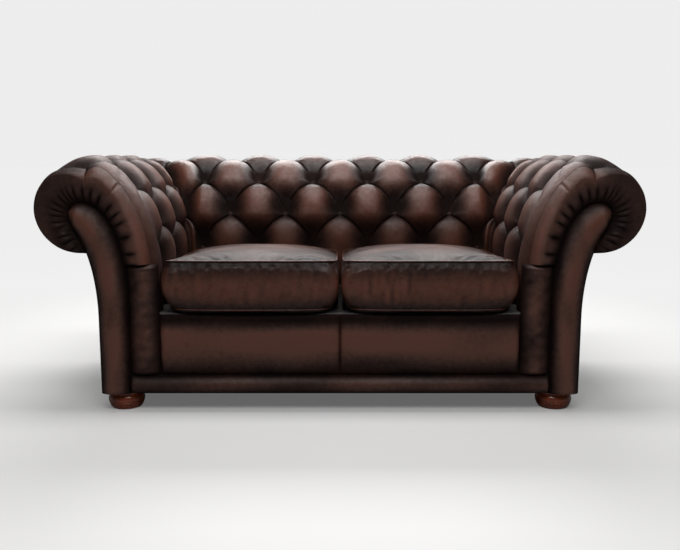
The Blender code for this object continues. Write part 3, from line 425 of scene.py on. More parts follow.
def leather_relief(down, column, sizes, tuck=1.0):
    """Height of the leather over the profile, its rub with painted shade, and its gloss.

    With u = column - row / 2 and v = column + row / 2, where row is swept as the folds are,
    buttons lie where both are whole.
    a = |sin(pi u)| and b = |sin(pi v)| are nil along the two families of folds, so a puff is
    (a b) ** power, from the sunk buttons up to the puff's depth. The power falls under each
    button, which makes the fold sharp there, and rises over it. Over each button the puff sinks
    by a hollow of exp(-(across / aside) ** 2 - (along / above) ** 2). A fold adds a groove and,
    on its upper side, a lip. Wrinkles run into each button from above. Over the roll all this
    fades into shallow pleats, and towards the front edge of an arm the last puff runs on
    without a fold. Rubbed and gloss are amounts from 0 to 1. Rubbed is the wear on the puffs
    with painted shade worked in: dark over each button, darker over the roll and on the lower
    puffs. Gloss is low over each button and lower over the roll and on the lower puffs.
    """
    row = np.clip(down / ROW_PITCH, 0.0, LAST_ROW)
    swept = fold_row(row)
    to_front = np.clip(1 - (FRONT_COLUMN - column) * ARM_COLUMN_PITCH / FRONT_TURN, 0, 1)
    to_front = to_front * FRONT_TURN / FRONT_ROUND
    past_branch = (column - BRANCH_COLUMN) * ARM_COLUMN_PITCH
    from_branch = np.hypot(past_branch, down - BRANCH_DOWN)
    off_branch = (down - BRANCH_DOWN) - BRANCH_SLOPE * past_branch
    column = fold_column(down, column)
    u = column - swept / 2
    v = column + swept / 2
    a = np.abs(np.sin(pi * u))
    b = np.abs(np.sin(pi * v))
    below = row - np.floor(row)
    power = PUFF_POWER
    shade = 0.0
    for next_u, next_v in ((0, 0), (0, 1), (1, 0), (1, 1)):
        across, along = from_button(u, v, row, np.floor(u) + next_u, np.floor(v) + next_v)
        reach = np.hypot(across, along)
        shade = shade + bell(across, SHADE_ASIDE) * bell(along + SHADE_RISE, SHADE_ALONG)
        beside = bell(reach, POWER_REACH) * np.sin(np.arctan2(along, across))
        power = power - np.where(beside > 0, POWER_BELOW, POWER_ABOVE) * beside
    across, along = from_button(u, v, row, np.floor(u), np.floor(v) + 1)
    hollow = bell(across, HOLLOW_ASIDE) * bell(along, HOLLOW_ABOVE)
    across, along = from_button(u, v, row, np.round(u), np.round(v))
    reach = np.hypot(across, along)
    turn = np.arctan2(along, across)
    from_top = np.clip(row - (np.floor(v) - np.floor(u)), -1, 1)
    pillow = (a * b) ** power * (1 - PUFF_LEAN * from_top * (1 - from_top**2))
    ridge = 1 - (1 - a**RIDGE_POWER) * (1 - b**RIDGE_POWER)
    pillow = pillow * (1 - HOLLOW_SHARE * hollow)
    full = pillow + CREASE_FILL * (ridge - pillow)
    front = smooth((column - FRONT_PUFF_START) / FRONT_PUFF_SPAN)
    front = front * smooth((down - FRONT_PUFF_DOWN) / FRONT_PUFF_DROP)
    full = full + (FRONT_PUFF_FILL - full) * front
    fade = smooth((PLEAT_FADE_START - down) / PLEAT_FADE_SPAN)
    ending = np.clip((down - DOWN_END) / ROLL_RADIUS, 0.0, 1.0)
    peak = sizes.puff_depth * (1 - fade)
    pit = -sizes.button_sink * (1 - fade) - sizes.pleat_depth * fade
    height = pit + (peak - pit) * full
    near_button = np.sin(pi * below) ** 0.7 * (1 - below) * 1.6 * (1 - fade) * (1 - front)
    from_fold = np.minimum(*(np.minimum(w - np.floor(w), np.ceil(w) - w) for w in (u, v)))
    height = height - sizes.fold_depth * near_button * bell(from_fold, GROOVE_HALF_WIDTH)
    for above in (u - np.floor(u), 1 - (v - np.floor(v))):
        height = height + sizes.lip_height * near_button * bell(above - LIP_PLACE, LIP_HALF_WIDTH)
    seed = np.sin(12.9 * np.round(u) + 7.1 * np.round(v)) * 3
    wave = np.cos((9 + np.round(seed)) * turn + 5 * seed)
    ring = bell(reach - RING_RADIUS, RING_HALF_WIDTH) * (0.55 - 0.45 * np.sin(turn))
    height = height + sizes.wrinkle_height * wave * (ring * (1 - fade) * (1 - front))
    lumps = LUMP_HEIGHT * ripple(column * 9, down * 40) * (1 - 0.6 * fade)
    height = (height + lumps) * tuck * ending
    height = height - front_drop(down) * (1 - np.sqrt(1 - to_front**2))
    on_branch = smooth((column - BRANCH_COLUMN + 0.01) / 0.05) * bell(from_branch, BRANCH_REACH)
    height = height - BRANCH_DEPTH * on_branch * bell(off_branch, BRANCH_HALF_WIDTH)
    lip = bell(off_branch + BRANCH_LIP_RISE, BRANCH_LIP_HALF_WIDTH)
    height = height + BRANCH_LIP * on_branch * lip
    worn = np.clip(full, 0, 1)
    on_roll = 0.45 + 0.15 * ripple(column * 3, down * 9) + 0.25 * worn**0.4
    worn = worn**1.6 + (on_roll - worn**1.6) * fade
    # painted shade: the hide over the roll is painted darker, and it is darker towards the mitres
    rub_and_shade = worn * (1 - 0.55 * fade) * (0.35 + 0.65 * tuck)
    # painted shade: a dark, dull patch round each button
    painted_shade = np.clip(SHADE_DEPTH * shade, 0, 1) * (1 - front) * (1 - 0.08 * fade)
    gloss = (1 - 0.97 * painted_shade) * (0.3 + 0.7 * tuck) * (0.75 + 0.25 * (1 - fade))
    # painted shade: the lower puffs are painted darker and duller towards the seat
    gloss = gloss * np.interp(down, LOWER_PUFFS, (1.0, LOWER_GLOSS))
    rub_and_shade = rub_and_shade * np.interp(down, LOWER_PUFFS, (1.0, LOWER_SHADE_SHARE))
    return height, rub_and_shade * (1 - 0.95 * painted_shade), gloss + 0 * rub_and_shade


def padded_section(down, column, sizes, tuck=1.0):
    """Points (inset, z) of the leather, each one's rub with painted shade, and its gloss."""
    points, normals = line_at(down)
    height, rub_and_shade, gloss = leather_relief(down, column, sizes, tuck)
    return points + normals * height[..., None], rub_and_shade, gloss


def backing_section():
    """Points (inset, z) of the pads' underside, from the outside panel back to the seat."""
    turns = [down_at_turn(turn) for turn in np.linspace(-pi / 2, pi / 2, 6)]
    down = np.array([DOWN_END, *turns, *(k * ROW_PITCH for k in range(LAST_ROW + 1)), DOWN_FOOT])
    points, normals = line_at(down)
    return points - normals * PAD_BACKING


def mesh_piece(name, points, faces, material, rub_and_shade=None, gloss=None):
    """A finished mesh object: merged seams, outward faces, smooth shading, and how far each point
    is rubbed, with painted shade and highlight worked into that amount, and how glossy it is."""
    mesh = bpy.data.meshes.new(name)
    mesh.from_pydata(points.reshape(-1, 3).tolist(), [], faces)
    amounts = {"rub_and_shade": rub_and_shade, "gloss": rub_and_shade if gloss is None else gloss}
    for label, values in amounts.items():
        if values is None:
            continue
        mesh.attributes.new(label, "FLOAT", "POINT")
        mesh.attributes[label].data.foreach_set("value", values.reshape(-1).astype(np.float32))
    shape = bmesh.new()
    shape.from_mesh(mesh)
    bmesh.ops.remove_doubles(shape, verts=shape.verts, dist=2e-6)
    bmesh.ops.recalc_face_normals(shape, faces=shape.faces)
    shape.to_mesh(mesh)
    shape.free()
    mesh.materials.append(material)
    mesh.shade_smooth()
    mesh.set_sharp_from_angle(angle=radians(62))
    obj = bpy.data.objects.new(name, mesh)
    bpy.context.scene.collection.objects.link(obj)
    return obj


def grid_faces(rows, columns, wrap=False, first=0):
    """Quads of a grid of points stored row by row, closed across its columns where asked."""
    count = columns if wrap else columns - 1
    row = np.arange(rows - 1)[:, None] * columns
    here = np.arange(count)[None, :]
    after = (here + 1) % columns
    quads = np.stack([row + here, row + after, row + columns + after, row + columns + here], -1)
    return (quads.reshape(-1, 4) + first).tolist()


def closed_tube(name, rings, material, rub_and_shade, gloss=None):
    """A body through closed rings of points, with both ends filled."""
    count, size, _ = rings.shape
    faces = grid_faces(count, size, wrap=True)
    faces.append(list(range(size)))
    faces.append(list(range((count - 1) * size, count * size)))
    return mesh_piece(name, rings, faces, material, rub_and_shade, gloss)


def backed_panel(name, front, axis, back, material, rub_and_shade):
    """A grid of points closed by a flat back: its rim is set back to one plane and filled."""
    rows, columns, _ = front.shape
    faces = grid_faces(rows, columns)
    number = np.arange(rows * columns).reshape(rows, columns)
    rim = np.concatenate([number[0, :-1], number[:-1, -1], number[-1, :0:-1], number[:0:-1, 0]])
    points = front.reshape(-1, 3)
    behind = points[rim].copy()
    behind[:, axis] = back
    size = len(rim)
    near = np.arange(size)
    after = (near + 1) % size
    start = rows * columns
    faces += np.stack([rim, rim[after], start + after, start + near], -1).tolist()
    faces.append((start + near).tolist())
    amounts = np.concatenate([rub_and_shade.reshape(-1), 0 * rim])
    return mesh_piece(name, np.concatenate([points, behind]), faces, material, amounts)


def dress(obj, slot, *nodes, fill=None, body="sofa_body"):
    """Tie a finished piece to its body and hide the solids that it stands for."""
    if not obj.data.polygons:
        raise RuntimeError(obj.name + " came out without faces")
    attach(obj, body)
    if nodes:
        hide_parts(*nodes)
    return obj


def pad_downs(steps):
    """Rows of a pad's grid from the seat over the roll to the outside panel, set closer where the
    folds are level, so that folds run through the corners of its cells."""
    even = np.arange(steps) / steps
    within = np.interp(even, FOLD_PATH, DROP)
    face = np.concatenate([row + within for row in range(LAST_ROW)] + [[LAST_ROW]]) * ROW_PITCH
    step = ROW_PITCH / steps
    foot = np.linspace(DOWN_FOOT, face[-1], int((DOWN_FOOT - face[-1]) / step / 1.5))[:-1]
    crest = -np.arange(1, int(0.2 / step)) * step
    roll = np.linspace(crest[-1], DOWN_END, int((crest[-1] - DOWN_END) / step / 2))[1:]
    return np.concatenate([foot, face[::-1], crest, roll])


def pad_rings(columns, sizes, pitch):
    """Sections of a pad at these columns with its underside, rub with painted shade, and gloss."""
    down = pad_downs(sizes.steps)
    to_corner = np.abs(np.abs(columns) - CORNER_COLUMN) * pitch
    tuck = 1 - 0.9 * np.exp(-to_corner / 0.016)
    outer, rub_and_shade, gloss = padded_section(down[None, :], columns[:, None], sizes, tuck[:, None])
    inner = backing_section()
    inner = np.broadcast_to(inner, (len(columns), *inner.shape))
    none = np.zeros(inner.shape[:2])
    section = np.concatenate([outer, inner], 1)
    return section, np.concatenate([rub_and_shade, none], 1), np.concatenate([gloss, none], 1)


def back_pad(sizes, material):
    """The buttoned back, from mitre to mitre."""
    steps = 2 * CORNER_COLUMN * sizes.steps
    columns = np.arange(-steps, steps + 1) / (2 * sizes.steps)
    section, rub_and_shade, gloss = pad_rings(columns, sizes, COLUMN_PITCH)
    away = np.abs(columns)[:, None]
    share = np.clip((away - BACK_HALF_COLUMNS) / (CORNER_COLUMN - BACK_HALF_COLUMNS), 0, 1)
    straight = np.minimum(away, BACK_HALF_COLUMNS) * COLUMN_PITCH
    mitre = HALF_WIDTH - section[..., 0] - GAP
    across = (straight + (mitre - straight) * share) * np.where(columns < 0, -1, 1)[:, None]
    rings = np.stack([across, HALF_DEPTH - section[..., 0], section[..., 1]], -1)
    return closed_tube("back_buttoned_leather", rings, material, rub_and_shade, gloss)


def arm_y(column):
    """Place of a column of buttons along an arm."""
    return FRONT_COLUMN_SETBACK - HALF_DEPTH + (ARM_LAST_COLUMN - column) * ARM_COLUMN_PITCH


def arm_pad(word, side, sizes, material):
    """A buttoned arm, from the mitre to the front board."""
    step = 0.5 / sizes.steps
    columns = np.append(np.arange(CORNER_COLUMN, FRONT_COLUMN - step / 4, step), FRONT_COLUMN)
    section, rub_and_shade, gloss = pad_rings(columns, sizes, ARM_COLUMN_PITCH)
    column = columns[:, None]
    share = np.clip((ARM_FIRST_COLUMN - column) / (ARM_FIRST_COLUMN - CORNER_COLUMN), 0, 1)
    straight = arm_y(np.maximum(column, ARM_FIRST_COLUMN))
    along = straight + (HALF_DEPTH - section[..., 0] - GAP - straight) * share
    rings = np.stack([side * (HALF_WIDTH - section[..., 0]), along, section[..., 1]], -1)
    # painted shade: the arms' hide is painted darker and duller all over
    rub_and_shade, gloss = rub_and_shade * ARM_SHADE_SHARE, gloss * ARM_GLOSS
    return closed_tube(word + "_arm_buttoned_leather", rings, material, rub_and_shade, gloss)


def buttons(name, places, normals, sizes, material):
    """Covered buttons: a low dome for each place, turned to its normal."""
    turns = np.linspace(0, 2 * pi, 11)[:-1]
    radii = sizes.button_radius * np.array([0.86, 1.0, 0.9, 0.55])
    lifts = sizes.button_radius * np.array([-0.35, 0.0, 0.3, 0.52])
    level = 0 * turns
    radii, lifts = radii[:, None], lifts[:, None]
    dome = np.stack([radii * np.cos(turns), radii * np.sin(turns), lifts + level], -1)
    dome = dome.reshape(-1, 3)
    normal = normals / np.linalg.norm(normals, axis=1, keepdims=True)
    across = np.cross(normal, [0.0, 0.0, 1.0])
    across /= np.linalg.norm(across, axis=1, keepdims=True)
    upward = np.cross(across, normal)
    axes = np.stack([across, upward, normal], 1)
    points = places[:, None, :] + dome @ axes
    size = len(dome)
    one = grid_faces(len(radii), len(turns), wrap=True)
    one += [list(range(len(turns))), list(range(size - len(turns), size))]
    starts = range(0, size * len(places), size)
    faces = [[corner + start for corner in face] for start in starts for face in one]
    return mesh_piece(name, points, faces, material, np.full(points.shape[:2], 0.12))


def button_places(rows_and_columns, lift):
    """Points and normals in (inset, z) of buttons at these rows and columns."""
    rows = np.array([row for row, _ in rows_and_columns], float)
    columns = np.array([column for _, column in rows_and_columns], float)
    points, normals = line_at(rows * ROW_PITCH)
    return points + normals * lift, normals, columns


def neck_points(turn, seam=0.0):
    """Points (inset, z) of a facing's outer edge where it leans out: a quarter ellipse."""
    inset = FACING_OUTER_INSET - NECK_SPREAD * (1 - np.cos(turn)) - seam
    return np.stack([inset, NECK_HEIGHT + NECK_RISE * np.sin(turn)], -1)


def lean_points(turn, seam=0.0):
    """Points (inset, z) of a facing's inner edge where it leans out: a quarter ellipse."""
    reach = FACING_INNER_INSET - HOOK_INSET + seam
    rise = HOOK_Z + HOOK_RADIUS - FACING_LEAN_HEIGHT + seam
    inset = HOOK_INSET + reach * np.cos(turn)
    return np.stack([inset, FACING_LEAN_HEIGHT + rise * np.sin(turn)], -1)


def hook_points(turn, seam=0.0):
    """Points (inset, z) round a facing's hook."""
    radius = HOOK_RADIUS + seam
    return np.stack([HOOK_INSET - radius * np.cos(turn), HOOK_Z + radius * np.sin(turn)], -1)


def front_grid(side, section, lift):
    """Points of a cover on an arm's front, from (inset, z) and how far they stand forward."""
    return np.stack([side * (HALF_WIDTH - section[..., 0]), COVER_BACK - lift, section[..., 1]], -1)


def facing_paths(count):
    """Outer and inner edge (inset, z) of a facing, station by station, meeting at its tip."""
    shares = np.linspace(0.0, 1.0, count)
    knots = (0.0, 0.38, 0.86, 1.0)
    straight = np.interp(shares, knots[:2], (0, 1))
    bend = np.interp(shares, knots[1:3], (0, 1))
    ease = np.interp(shares, knots[2:], (0, 1))
    ease = np.sin(ease * pi / 2)
    edges = ((FACING_OUTER_INSET, NECK_HEIGHT), (FACING_INNER_INSET, FACING_LEAN_HEIGHT))
    outside, inside = (
        np.stack([0 * shares + inset, UNDERSIDE_Z + straight * (top - UNDERSIDE_Z)], -1)
        for inset, top in edges
    )
    under_hook = hook_points(HOOK_TURN + (FACING_TIP - HOOK_TURN) * ease)
    over_hook = hook_points(pi / 2 + (FACING_TIP - pi / 2) * ease)
    in_foot = (shares <= knots[1])[:, None]
    in_bend = (shares <= knots[2])[:, None]
    outer = np.where(in_foot, outside, np.where(in_bend, neck_points(bend * NECK_TURN), under_hook))
    inner = np.where(in_foot, inside, np.where(in_bend, lean_points(bend * pi / 2), over_hook))
    return outer, inner


def facing(word, side, material):
    """Padded facing: a strip domed across its width, with height (1 - s ** 2) ** 0.62 at s
    from edge to edge, that closes to a point round its hooked end."""
    outer, inner = facing_paths(190)
    across = shares_close_at_ends(33)
    section = outer[:, None] + (inner - outer)[:, None] * across[None, :, None]
    width = np.linalg.norm(inner - outer, axis=1)[:, None]
    dome = arch(across)[None, :] ** 0.62
    slim = np.clip(width / (2 * HOOK_RADIUS), 0, 1) ** 0.7
    inset, z = section[..., 0], section[..., 1]
    lift = FACING_BULGE * dome * slim * (0.72 + 0.28 * rounded((z - UNDERSIDE_Z) / 0.012))
    lift = lift + 0.0004 * ripple(inset * 60, z * 45) * dome
    # rubbed on the facing's crown, with painted shade towards both edges
    rub_and_shade = dome**3.2 * slim * (0.75 + 0.25 * ripple(z * 20, inset * 60))
    front = front_grid(side, section, lift)
    return backed_panel(word + "_facing_leather", front, 1, COVER_BACK, material, rub_and_shade)


def scroll_border(word, side, sizes, material):
    """Gathered border between a facing and its arm's pad, swept round the scroll.

    Across the border the leather rises forward as a rounded edge and sinks to the facing.
    Gathers are waves |sin(pi phase)| ** 0.6 along the scroll, deepest a little way from the
    facing's seam.
    """
    shares = np.linspace(0.0, 1.0, 420)
    knots = (0.0, 0.4, 0.8, 1.0)
    start = down_at_height(ARM_BORDER_TOP + GAP)
    end = down_at_turn(-pi / 2) - BORDER_TUCK
    stops = (start, down_at_turn(pi / 2), down_at_turn(HOOK_TURN), end)
    outer = padded_section(np.interp(shares, knots, stops), 0 * shares + FRONT_COLUMN, sizes)[0]
    rise = HOOK_Z + HOOK_RADIUS - FACING_LEAN_HEIGHT
    first = np.arcsin((ARM_BORDER_TOP + GAP - FACING_LEAN_HEIGHT) / rise)
    lean = lean_points(np.interp(shares, knots[:2], (first, pi / 2)), FACING_SEAM)
    hook = hook_points(np.interp(shares, knots[1:3], (pi / 2, HOOK_TURN)), FACING_SEAM)
    neck = neck_points(np.interp(shares, knots[2:], (NECK_TURN, TUCK_TURN)), FACING_SEAM)
    inner = np.where((shares <= knots[2])[:, None], hook, neck)
    inner = np.where((shares <= knots[1])[:, None], lean, inner)
    inner[0, 1] = outer[0, 1]
    stops_down = np.interp(shares, knots, stops)[:, None]
    width = np.linalg.norm(inner - outer, axis=1)[:, None]
    first_turn = np.arcsin(FRONT_TURN / FRONT_ROUND)
    turn = first_turn + (pi / 2 - first_turn) * np.linspace(0, 1, 16)[None, :]
    turned = front_drop(stops_down) * (np.cos(first_turn) - np.cos(turn))
    turned = np.minimum(turned, 0.6 * width)
    rest = (np.sin(np.linspace(0, pi / 2, 31))[1:] ** 1.4)[None, :]
    inwards = np.concatenate([turned, turned[:, -1:] + (width - turned[:, -1:]) * rest], 1)
    section = outer[:, None] + (inner - outer)[:, None] * (inwards / width)[..., None]
    forward = np.concatenate([FRONT_ROUND * np.sin(turn) - FRONT_TURN, 0 * rest + BORDER_BULGE], 1)
    to_seam = width - inwards
    sink = 0.72 * np.clip(1 - to_seam / 0.036, 0, 1) ** 2
    forward = forward * (1 - sink)
    edge = np.clip(forward / BORDER_BULGE, 0, 1)
    counts = (0, GATHERS_UP_THE_LEAN, GATHERS_UP_THE_LEAN + GATHERS_ROUND_THE_HOOK)
    phase = np.interp(shares, (0, 0.4, 1.0), counts) + 0.25 * ripple(shares * 23)
    pleat = np.abs(np.sin(pi * phase)) ** 0.6 - 0.6
    strength = 0.65 + 0.35 * ripple(shares * 37 + 2)
    near = bell(to_seam - GATHER_PLACE, GATHER_HALF_WIDTH)
    lift = forward + sizes.gather_depth * (pleat * strength)[:, None] * near
    lift = lift + 0.0006 * ripple(shares[:, None] * 30, inwards * 70) * edge
    back = front_grid(side, inner, 0 * shares)[:, None]
    rings = np.concatenate([front_grid(side, section, lift), back], 1)
    smooth_part = smooth((to_seam - 0.03) / 0.04)
    # rubbed away from the facing; the gathers' ridges are rubbed and carry a painted highlight,
    # with painted shade in their valleys and where the border turns back and sinks to the facing
    rub_and_shade = (0.12 + 0.5 * smooth_part + 0.7 * pleat[:, None] * near) * edge
    # painted shade: darker from the top of the roll round its outer side
    rub_and_shade = rub_and_shade * np.interp(shares, (0, 0.34, 0.5), (1.1, 0.6, 0.35))[:, None]
    below_roll = np.interp(shares, (0, 0.34, 0.42), (1, 1, 0))[:, None]
    rub_and_shade = rub_and_shade + 0.35 * bell(inwards, 0.03) * below_roll
    rub_and_shade = np.concatenate([rub_and_shade + 0 * lift, 0 * shares[:, None]], 1)
    return closed_tube(word + "_gathered_border", rings, material, rub_and_shade)


def arm_front_border(word, side, material):
    """Plain padded panel beside the seat: domed across, creased under its top edge."""
    low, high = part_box(word + "_arm_front_border")
    up = shares_close_at_ends(120)
    across = shares_close_at_ends(41)
    z = low.z + (high.z - low.z) * up[:, None] + 0 * across[None, :]
    rise = HOOK_Z + HOOK_RADIUS - FACING_LEAN_HEIGHT
    lean = np.sqrt(1 - (np.clip(z - FACING_LEAN_HEIGHT, 0, 1) / rise) ** 2)
    outer = HALF_WIDTH - HOOK_INSET - (FACING_INNER_INSET - HOOK_INSET) * lean
    inner = min(abs(low.x), abs(high.x)) - GAP
    share = across if side > 0 else 1 - across
    x = side * (inner + (outer - inner) * share[None, :])
    dome = arch(across)[None, :] ** 0.8
    ends = rounded(np.minimum(up, 1 - up) / 0.05)[:, None]
    from_top = high.z - z
    inward = 1 - share
    crease = np.cos(2 * pi * from_top / 0.0155 + 1.6 * inward + 1.2 * ripple(from_top * 60))
    crease = crease * np.exp(-from_top / 0.035) * np.clip(from_top / 0.006, 0, 1)
    lift = (high.y - low.y) * dome * ends * (0.93 + 0.05 * ripple(z * 14, x * 8))
    lift = lift + 0.0011 * crease * dome
    front = np.stack([x, COVER_BACK - lift, z], -1)
    rub_and_shade = 0.38 + 0.2 * ripple(z * 20, x * 40) + 0.12 * ripple(z * 110, x * 60)
    # rubbed on its crown, with painted shade towards its edges and ends
    rub_and_shade = rub_and_shade * dome**2 * ends
    return backed_panel(word + "_front_border_leather", front, 1, COVER_BACK, material, rub_and_shade)


def seat_border(material):
    """Padded panel under the cushions, in two halves that meet in a drawn-in seam."""
    low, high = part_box("front_border")
    across = np.linspace(-1, 1, 401)
    across = np.sign(across) * np.abs(across) ** 1.25
    up = shares_close_at_ends(70)
    x = high.x * across[None, :] + 0 * up[:, None]
    z = low.z + (high.z - low.z) * up[:, None] + 0 * across[None, :]
    dome = arch(up)[:, None] ** np.where(up > 0.5, 0.35, 0.6)[:, None]
    ends = rounded((high.x - np.abs(x)) / 0.02)
    seam = 1 - 0.55 * np.exp(-np.abs(x) / 0.0055)
    pucker = 0.0009 * np.cos(2 * pi * z / 0.013 + 2 * ripple(z * 50)) * np.exp(-np.abs(x) / 0.02)
    lift = (high.y - low.y) * dome * ends * seam * (0.95 + 0.04 * ripple(x * 7, z * 14))
    lift = lift + pucker * dome
    front = np.stack([x, COVER_BACK - lift, z], -1)
    # rubbed across its face, with painted shade towards its edges and ends, and darker along the
    # centre seam
    rub_and_shade = (0.85 + 0.3 * ripple(x * 9, z * 25)) * dome**1.6 * ends * seam
    # painted shadow of the cushions along its top
    rub_and_shade = rub_and_shade * smooth((high.z - 0.012 - z) / 0.05)
    # painted shade: darker towards the bottom
    rub_and_shade = rub_and_shade * (0.35 + 0.65 * smooth((z - low.z) / 0.11))
    return backed_panel("front_border_leather", front, 1, COVER_BACK, material, rub_and_shade)


def bottom_band(material):
    """Narrow padded band along the bottom of the front."""
    low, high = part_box("bottom_band")
    across = np.linspace(-1, 1, 301)
    up = shares_close_at_ends(33)
    x = high.x * across[None, :] + 0 * up[:, None]
    z = low.z + (high.z - low.z) * up[:, None] + 0 * across[None, :]
    dome = arch(up)[:, None] ** 0.6
    ends = rounded((high.x - np.abs(x)) / 0.012)
    lift = (high.y - low.y) * dome * (0.25 + 0.75 * ends) * (0.96 + 0.035 * ripple(x * 11, z * 20))
    front = np.stack([x, COVER_BACK - lift, z], -1)
    # rubbed along its middle, with painted shade towards its edges and ends
    rub_and_shade = (0.35 + 0.25 * ripple(x * 13, z * 25)) * dome**2 * ends
    return backed_panel("bottom_band_leather", front, 1, COVER_BACK, material, rub_and_shade)


def outside_panel(node, axis, outward, material):
    """Hide drawn flat over an outer side, a little padded, with its rim turned in."""
    low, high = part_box(node)
    flat = 1 - axis
    across = shares_close_at_ends(90)
    up = shares_close_at_ends(70)
    along = low[flat] + (high[flat] - low[flat]) * across[None, :] + 0 * up[:, None]
    z = low.z + (high.z - low.z) * up[:, None] + 0 * across[None, :]
    rim = np.minimum(along - low[flat], high[flat] - along)
    rim = np.minimum(rim, np.minimum(z - low.z, high.z - z))
    soft = rounded(rim / 0.02)
    pull = 0.0006 * np.cos(along * 2 * pi / 0.031 + 2 * ripple(along * 9))
    pull = pull * np.exp(-(high.z - z) / 0.03)
    thick = high[axis] - low[axis]
    lift = thick * soft * (0.86 + 0.08 * ripple(along * 6, z * 6)) + pull * soft
    base = low[axis] if outward > 0 else high[axis]
    front = np.zeros((*z.shape, 3))
    front[..., axis] = base + outward * lift
    front[..., flat] = along
    front[..., 2] = z
    rub_and_shade = (0.28 + 0.2 * ripple(along * 8, z * 9)) * soft
    return backed_panel(node + "_leather", front, axis, base, material, rub_and_shade)


def cushion_seam(low, high, draw, count):
    """Loop of a cushion's seam in plan, and its share of the depth, drawn in at the corners."""
    turn = np.linspace(0, 2 * pi, count, endpoint=False)
    square = np.stack([np.cos(turn), np.sin(turn)], -1)
    square /= np.abs(square).max(1, keepdims=True)
    share = superellipse(square)
    half = (np.array(high) - low)[:2] / 2
    corner = np.prod(share**2, -1, keepdims=True) ** 2
    return share * (half - draw * corner) + (np.array(high) + low)[:2] / 2, share[:, 1]


def superellipse(square):
    """Concentric squares taken to concentric curves |x| ** 30 + |y| ** 30 = 1."""
    most = np.abs(square).max(-1, keepdims=True)
    share = square / np.maximum(most, 1e-9)
    return square / np.maximum((np.abs(share) ** 30).sum(-1, keepdims=True), 1e-9) ** (1 / 30)


def top_seam(depth):
    """Height of a cushion's top seam at this share of its depth, from -1 in front to 1 behind."""
    return SEAM_TOP - SEAM_FALL * (depth + 1) / 2 - SEAM_SAG * (1 - depth**2)


def cushion_dome(a, b):
    """(1 - |a| ** 2.5) (1 - |b| ** 2.5) for shares a and b of the half width and half depth."""
    return (1 - np.abs(a) ** 2.5) * (1 - np.abs(b) ** 2.5)


def square_rim(steps):
    """Numbers of the points round a square grid, once round from its first corner."""
    side, row = np.arange(steps), steps + 1
    return np.concatenate([side, steps + side * row, row**2 - 1 - side, (steps - side) * row])


def cushion_cover(word, crown, material):
    """Box cushion in one closed grid of three parts that share their rims.

    The top rises over its seam as crown * ((1 - |a| ** 2.5) (1 - |b| ** 2.5)) ** 0.85 and
    creases towards its front corners. The seam falls to the back and sags along the sides. The
    boxing bellies out by 1 - c ** 2 between the seams and is faintly wrinkled. The underside
    lies flat.
    """
    low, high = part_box(word + "_seat_cushion")
    half = (np.array(high) - low)[:2] / 2 - CUSHION_BULGE
    middle = (np.array(high) + low)[:2] / 2
    steps = 96
    line = np.sin(np.linspace(-pi / 2, pi / 2, steps + 1))
    b, a = np.meshgrid(line, line, indexing="ij")
    share = superellipse(np.stack([a, b], -1))
    corner = np.prod(share**2, -1, keepdims=True) ** 2
    plan = share * (half - SEAM_TOP_DRAW * corner) + middle
    base = share * (half - SEAM_BOTTOM_DRAW * corner) + middle
    dome = np.clip(cushion_dome(a, b), 0, 1) ** 0.85
    toward = np.hypot((np.abs(a) - 1) * half[0], (b + 1) * half[1])
    turn = np.arctan2((b + 1) * half[1], (1 - np.abs(a)) * half[0])
    folds = np.cos(9 * turn + np.sign(a) * 1.3 + 0.8 * ripple(toward * 20))
    folds = folds * bell(toward - 0.07, 0.06)
    top_z = top_seam(b) + crown * dome
    top_z = top_z + 0.0016 * folds * dome + 0.0012 * ripple(a * 5, b * 6) * dome
    bottom_z = SEAM_BOTTOM + (PAD_FOOT_Z - SEAM_BOTTOM) * dome**0.2
    rim = square_rim(steps)
    loop = base.reshape(-1, 2)[rim]
    ahead = np.roll(loop, -1, 0) - np.roll(loop, 1, 0)
    outward = np.stack([ahead[:, 1], -ahead[:, 0]], -1)
    outward /= np.linalg.norm(outward, axis=1, keepdims=True)
    level = np.linspace(-1, 1, 29)
    travelled = np.cumsum(np.linalg.norm(np.roll(loop, -1, 0) - loop, axis=1))
    between = (1 - level**2)[:, None]
    folds = ripple(travelled * 95)[None, :] * 0.0011 * between
    folds = folds * (0.7 + 0.3 * ripple(travelled * 11, 2.0))[None, :]
    belly = CUSHION_BULGE * between + folds
    edge = share.reshape(-1, 2)[rim]
    draw = level**2 * np.where(level > 0, SEAM_TOP_DRAW, SEAM_BOTTOM_DRAW)
    drawn = draw[:, None, None] * corner.reshape(-1, 1)[rim][None]
    side_xy = edge[None] * (half - drawn) + middle + outward[None] * belly[..., None]
    seam = top_seam(edge[:, 1])
    side_z = SEAM_BOTTOM + (seam[None] - SEAM_BOTTOM) * (level[:, None] + 1) / 2
    parts = [
        np.concatenate([plan, top_z[..., None]], -1).reshape(-1, 3),
        np.concatenate([base, bottom_z[..., None]], -1).reshape(-1, 3),
        np.concatenate([side_xy, side_z[..., None]], -1).reshape(-1, 3),
    ]
    count = (steps + 1) ** 2
    faces = grid_faces(steps + 1, steps + 1) + grid_faces(steps + 1, steps + 1, first=count)
    faces += grid_faces(len(level), len(loop), wrap=True, first=2 * count)
    lit = (0.3 + 0.7 * smooth((0.8 - level) / 0.7))[:, None]
    on_side = 0.85 * (between * lit) * (0.9 + 0.25 * ripple(travelled * 60)[None, :])
    on_top = 0.10 + 0.40 * dome + 0.15 * ripple(a * 4, b * 5)
    below = np.full(count, 0.1)
    rub_and_shade = np.concatenate([on_top.reshape(-1), below, on_side.reshape(-1)])
    return mesh_piece(word + "_cushion_cover", np.concatenate(parts), faces, material, rub_and_shade)


def evaluated_mesh(obj):
    """A mesh of this object with its modifiers carried out."""
    graph = bpy.context.evaluated_depsgraph_get()
    return bpy.data.meshes.new_from_object(obj.evaluated_get(graph))


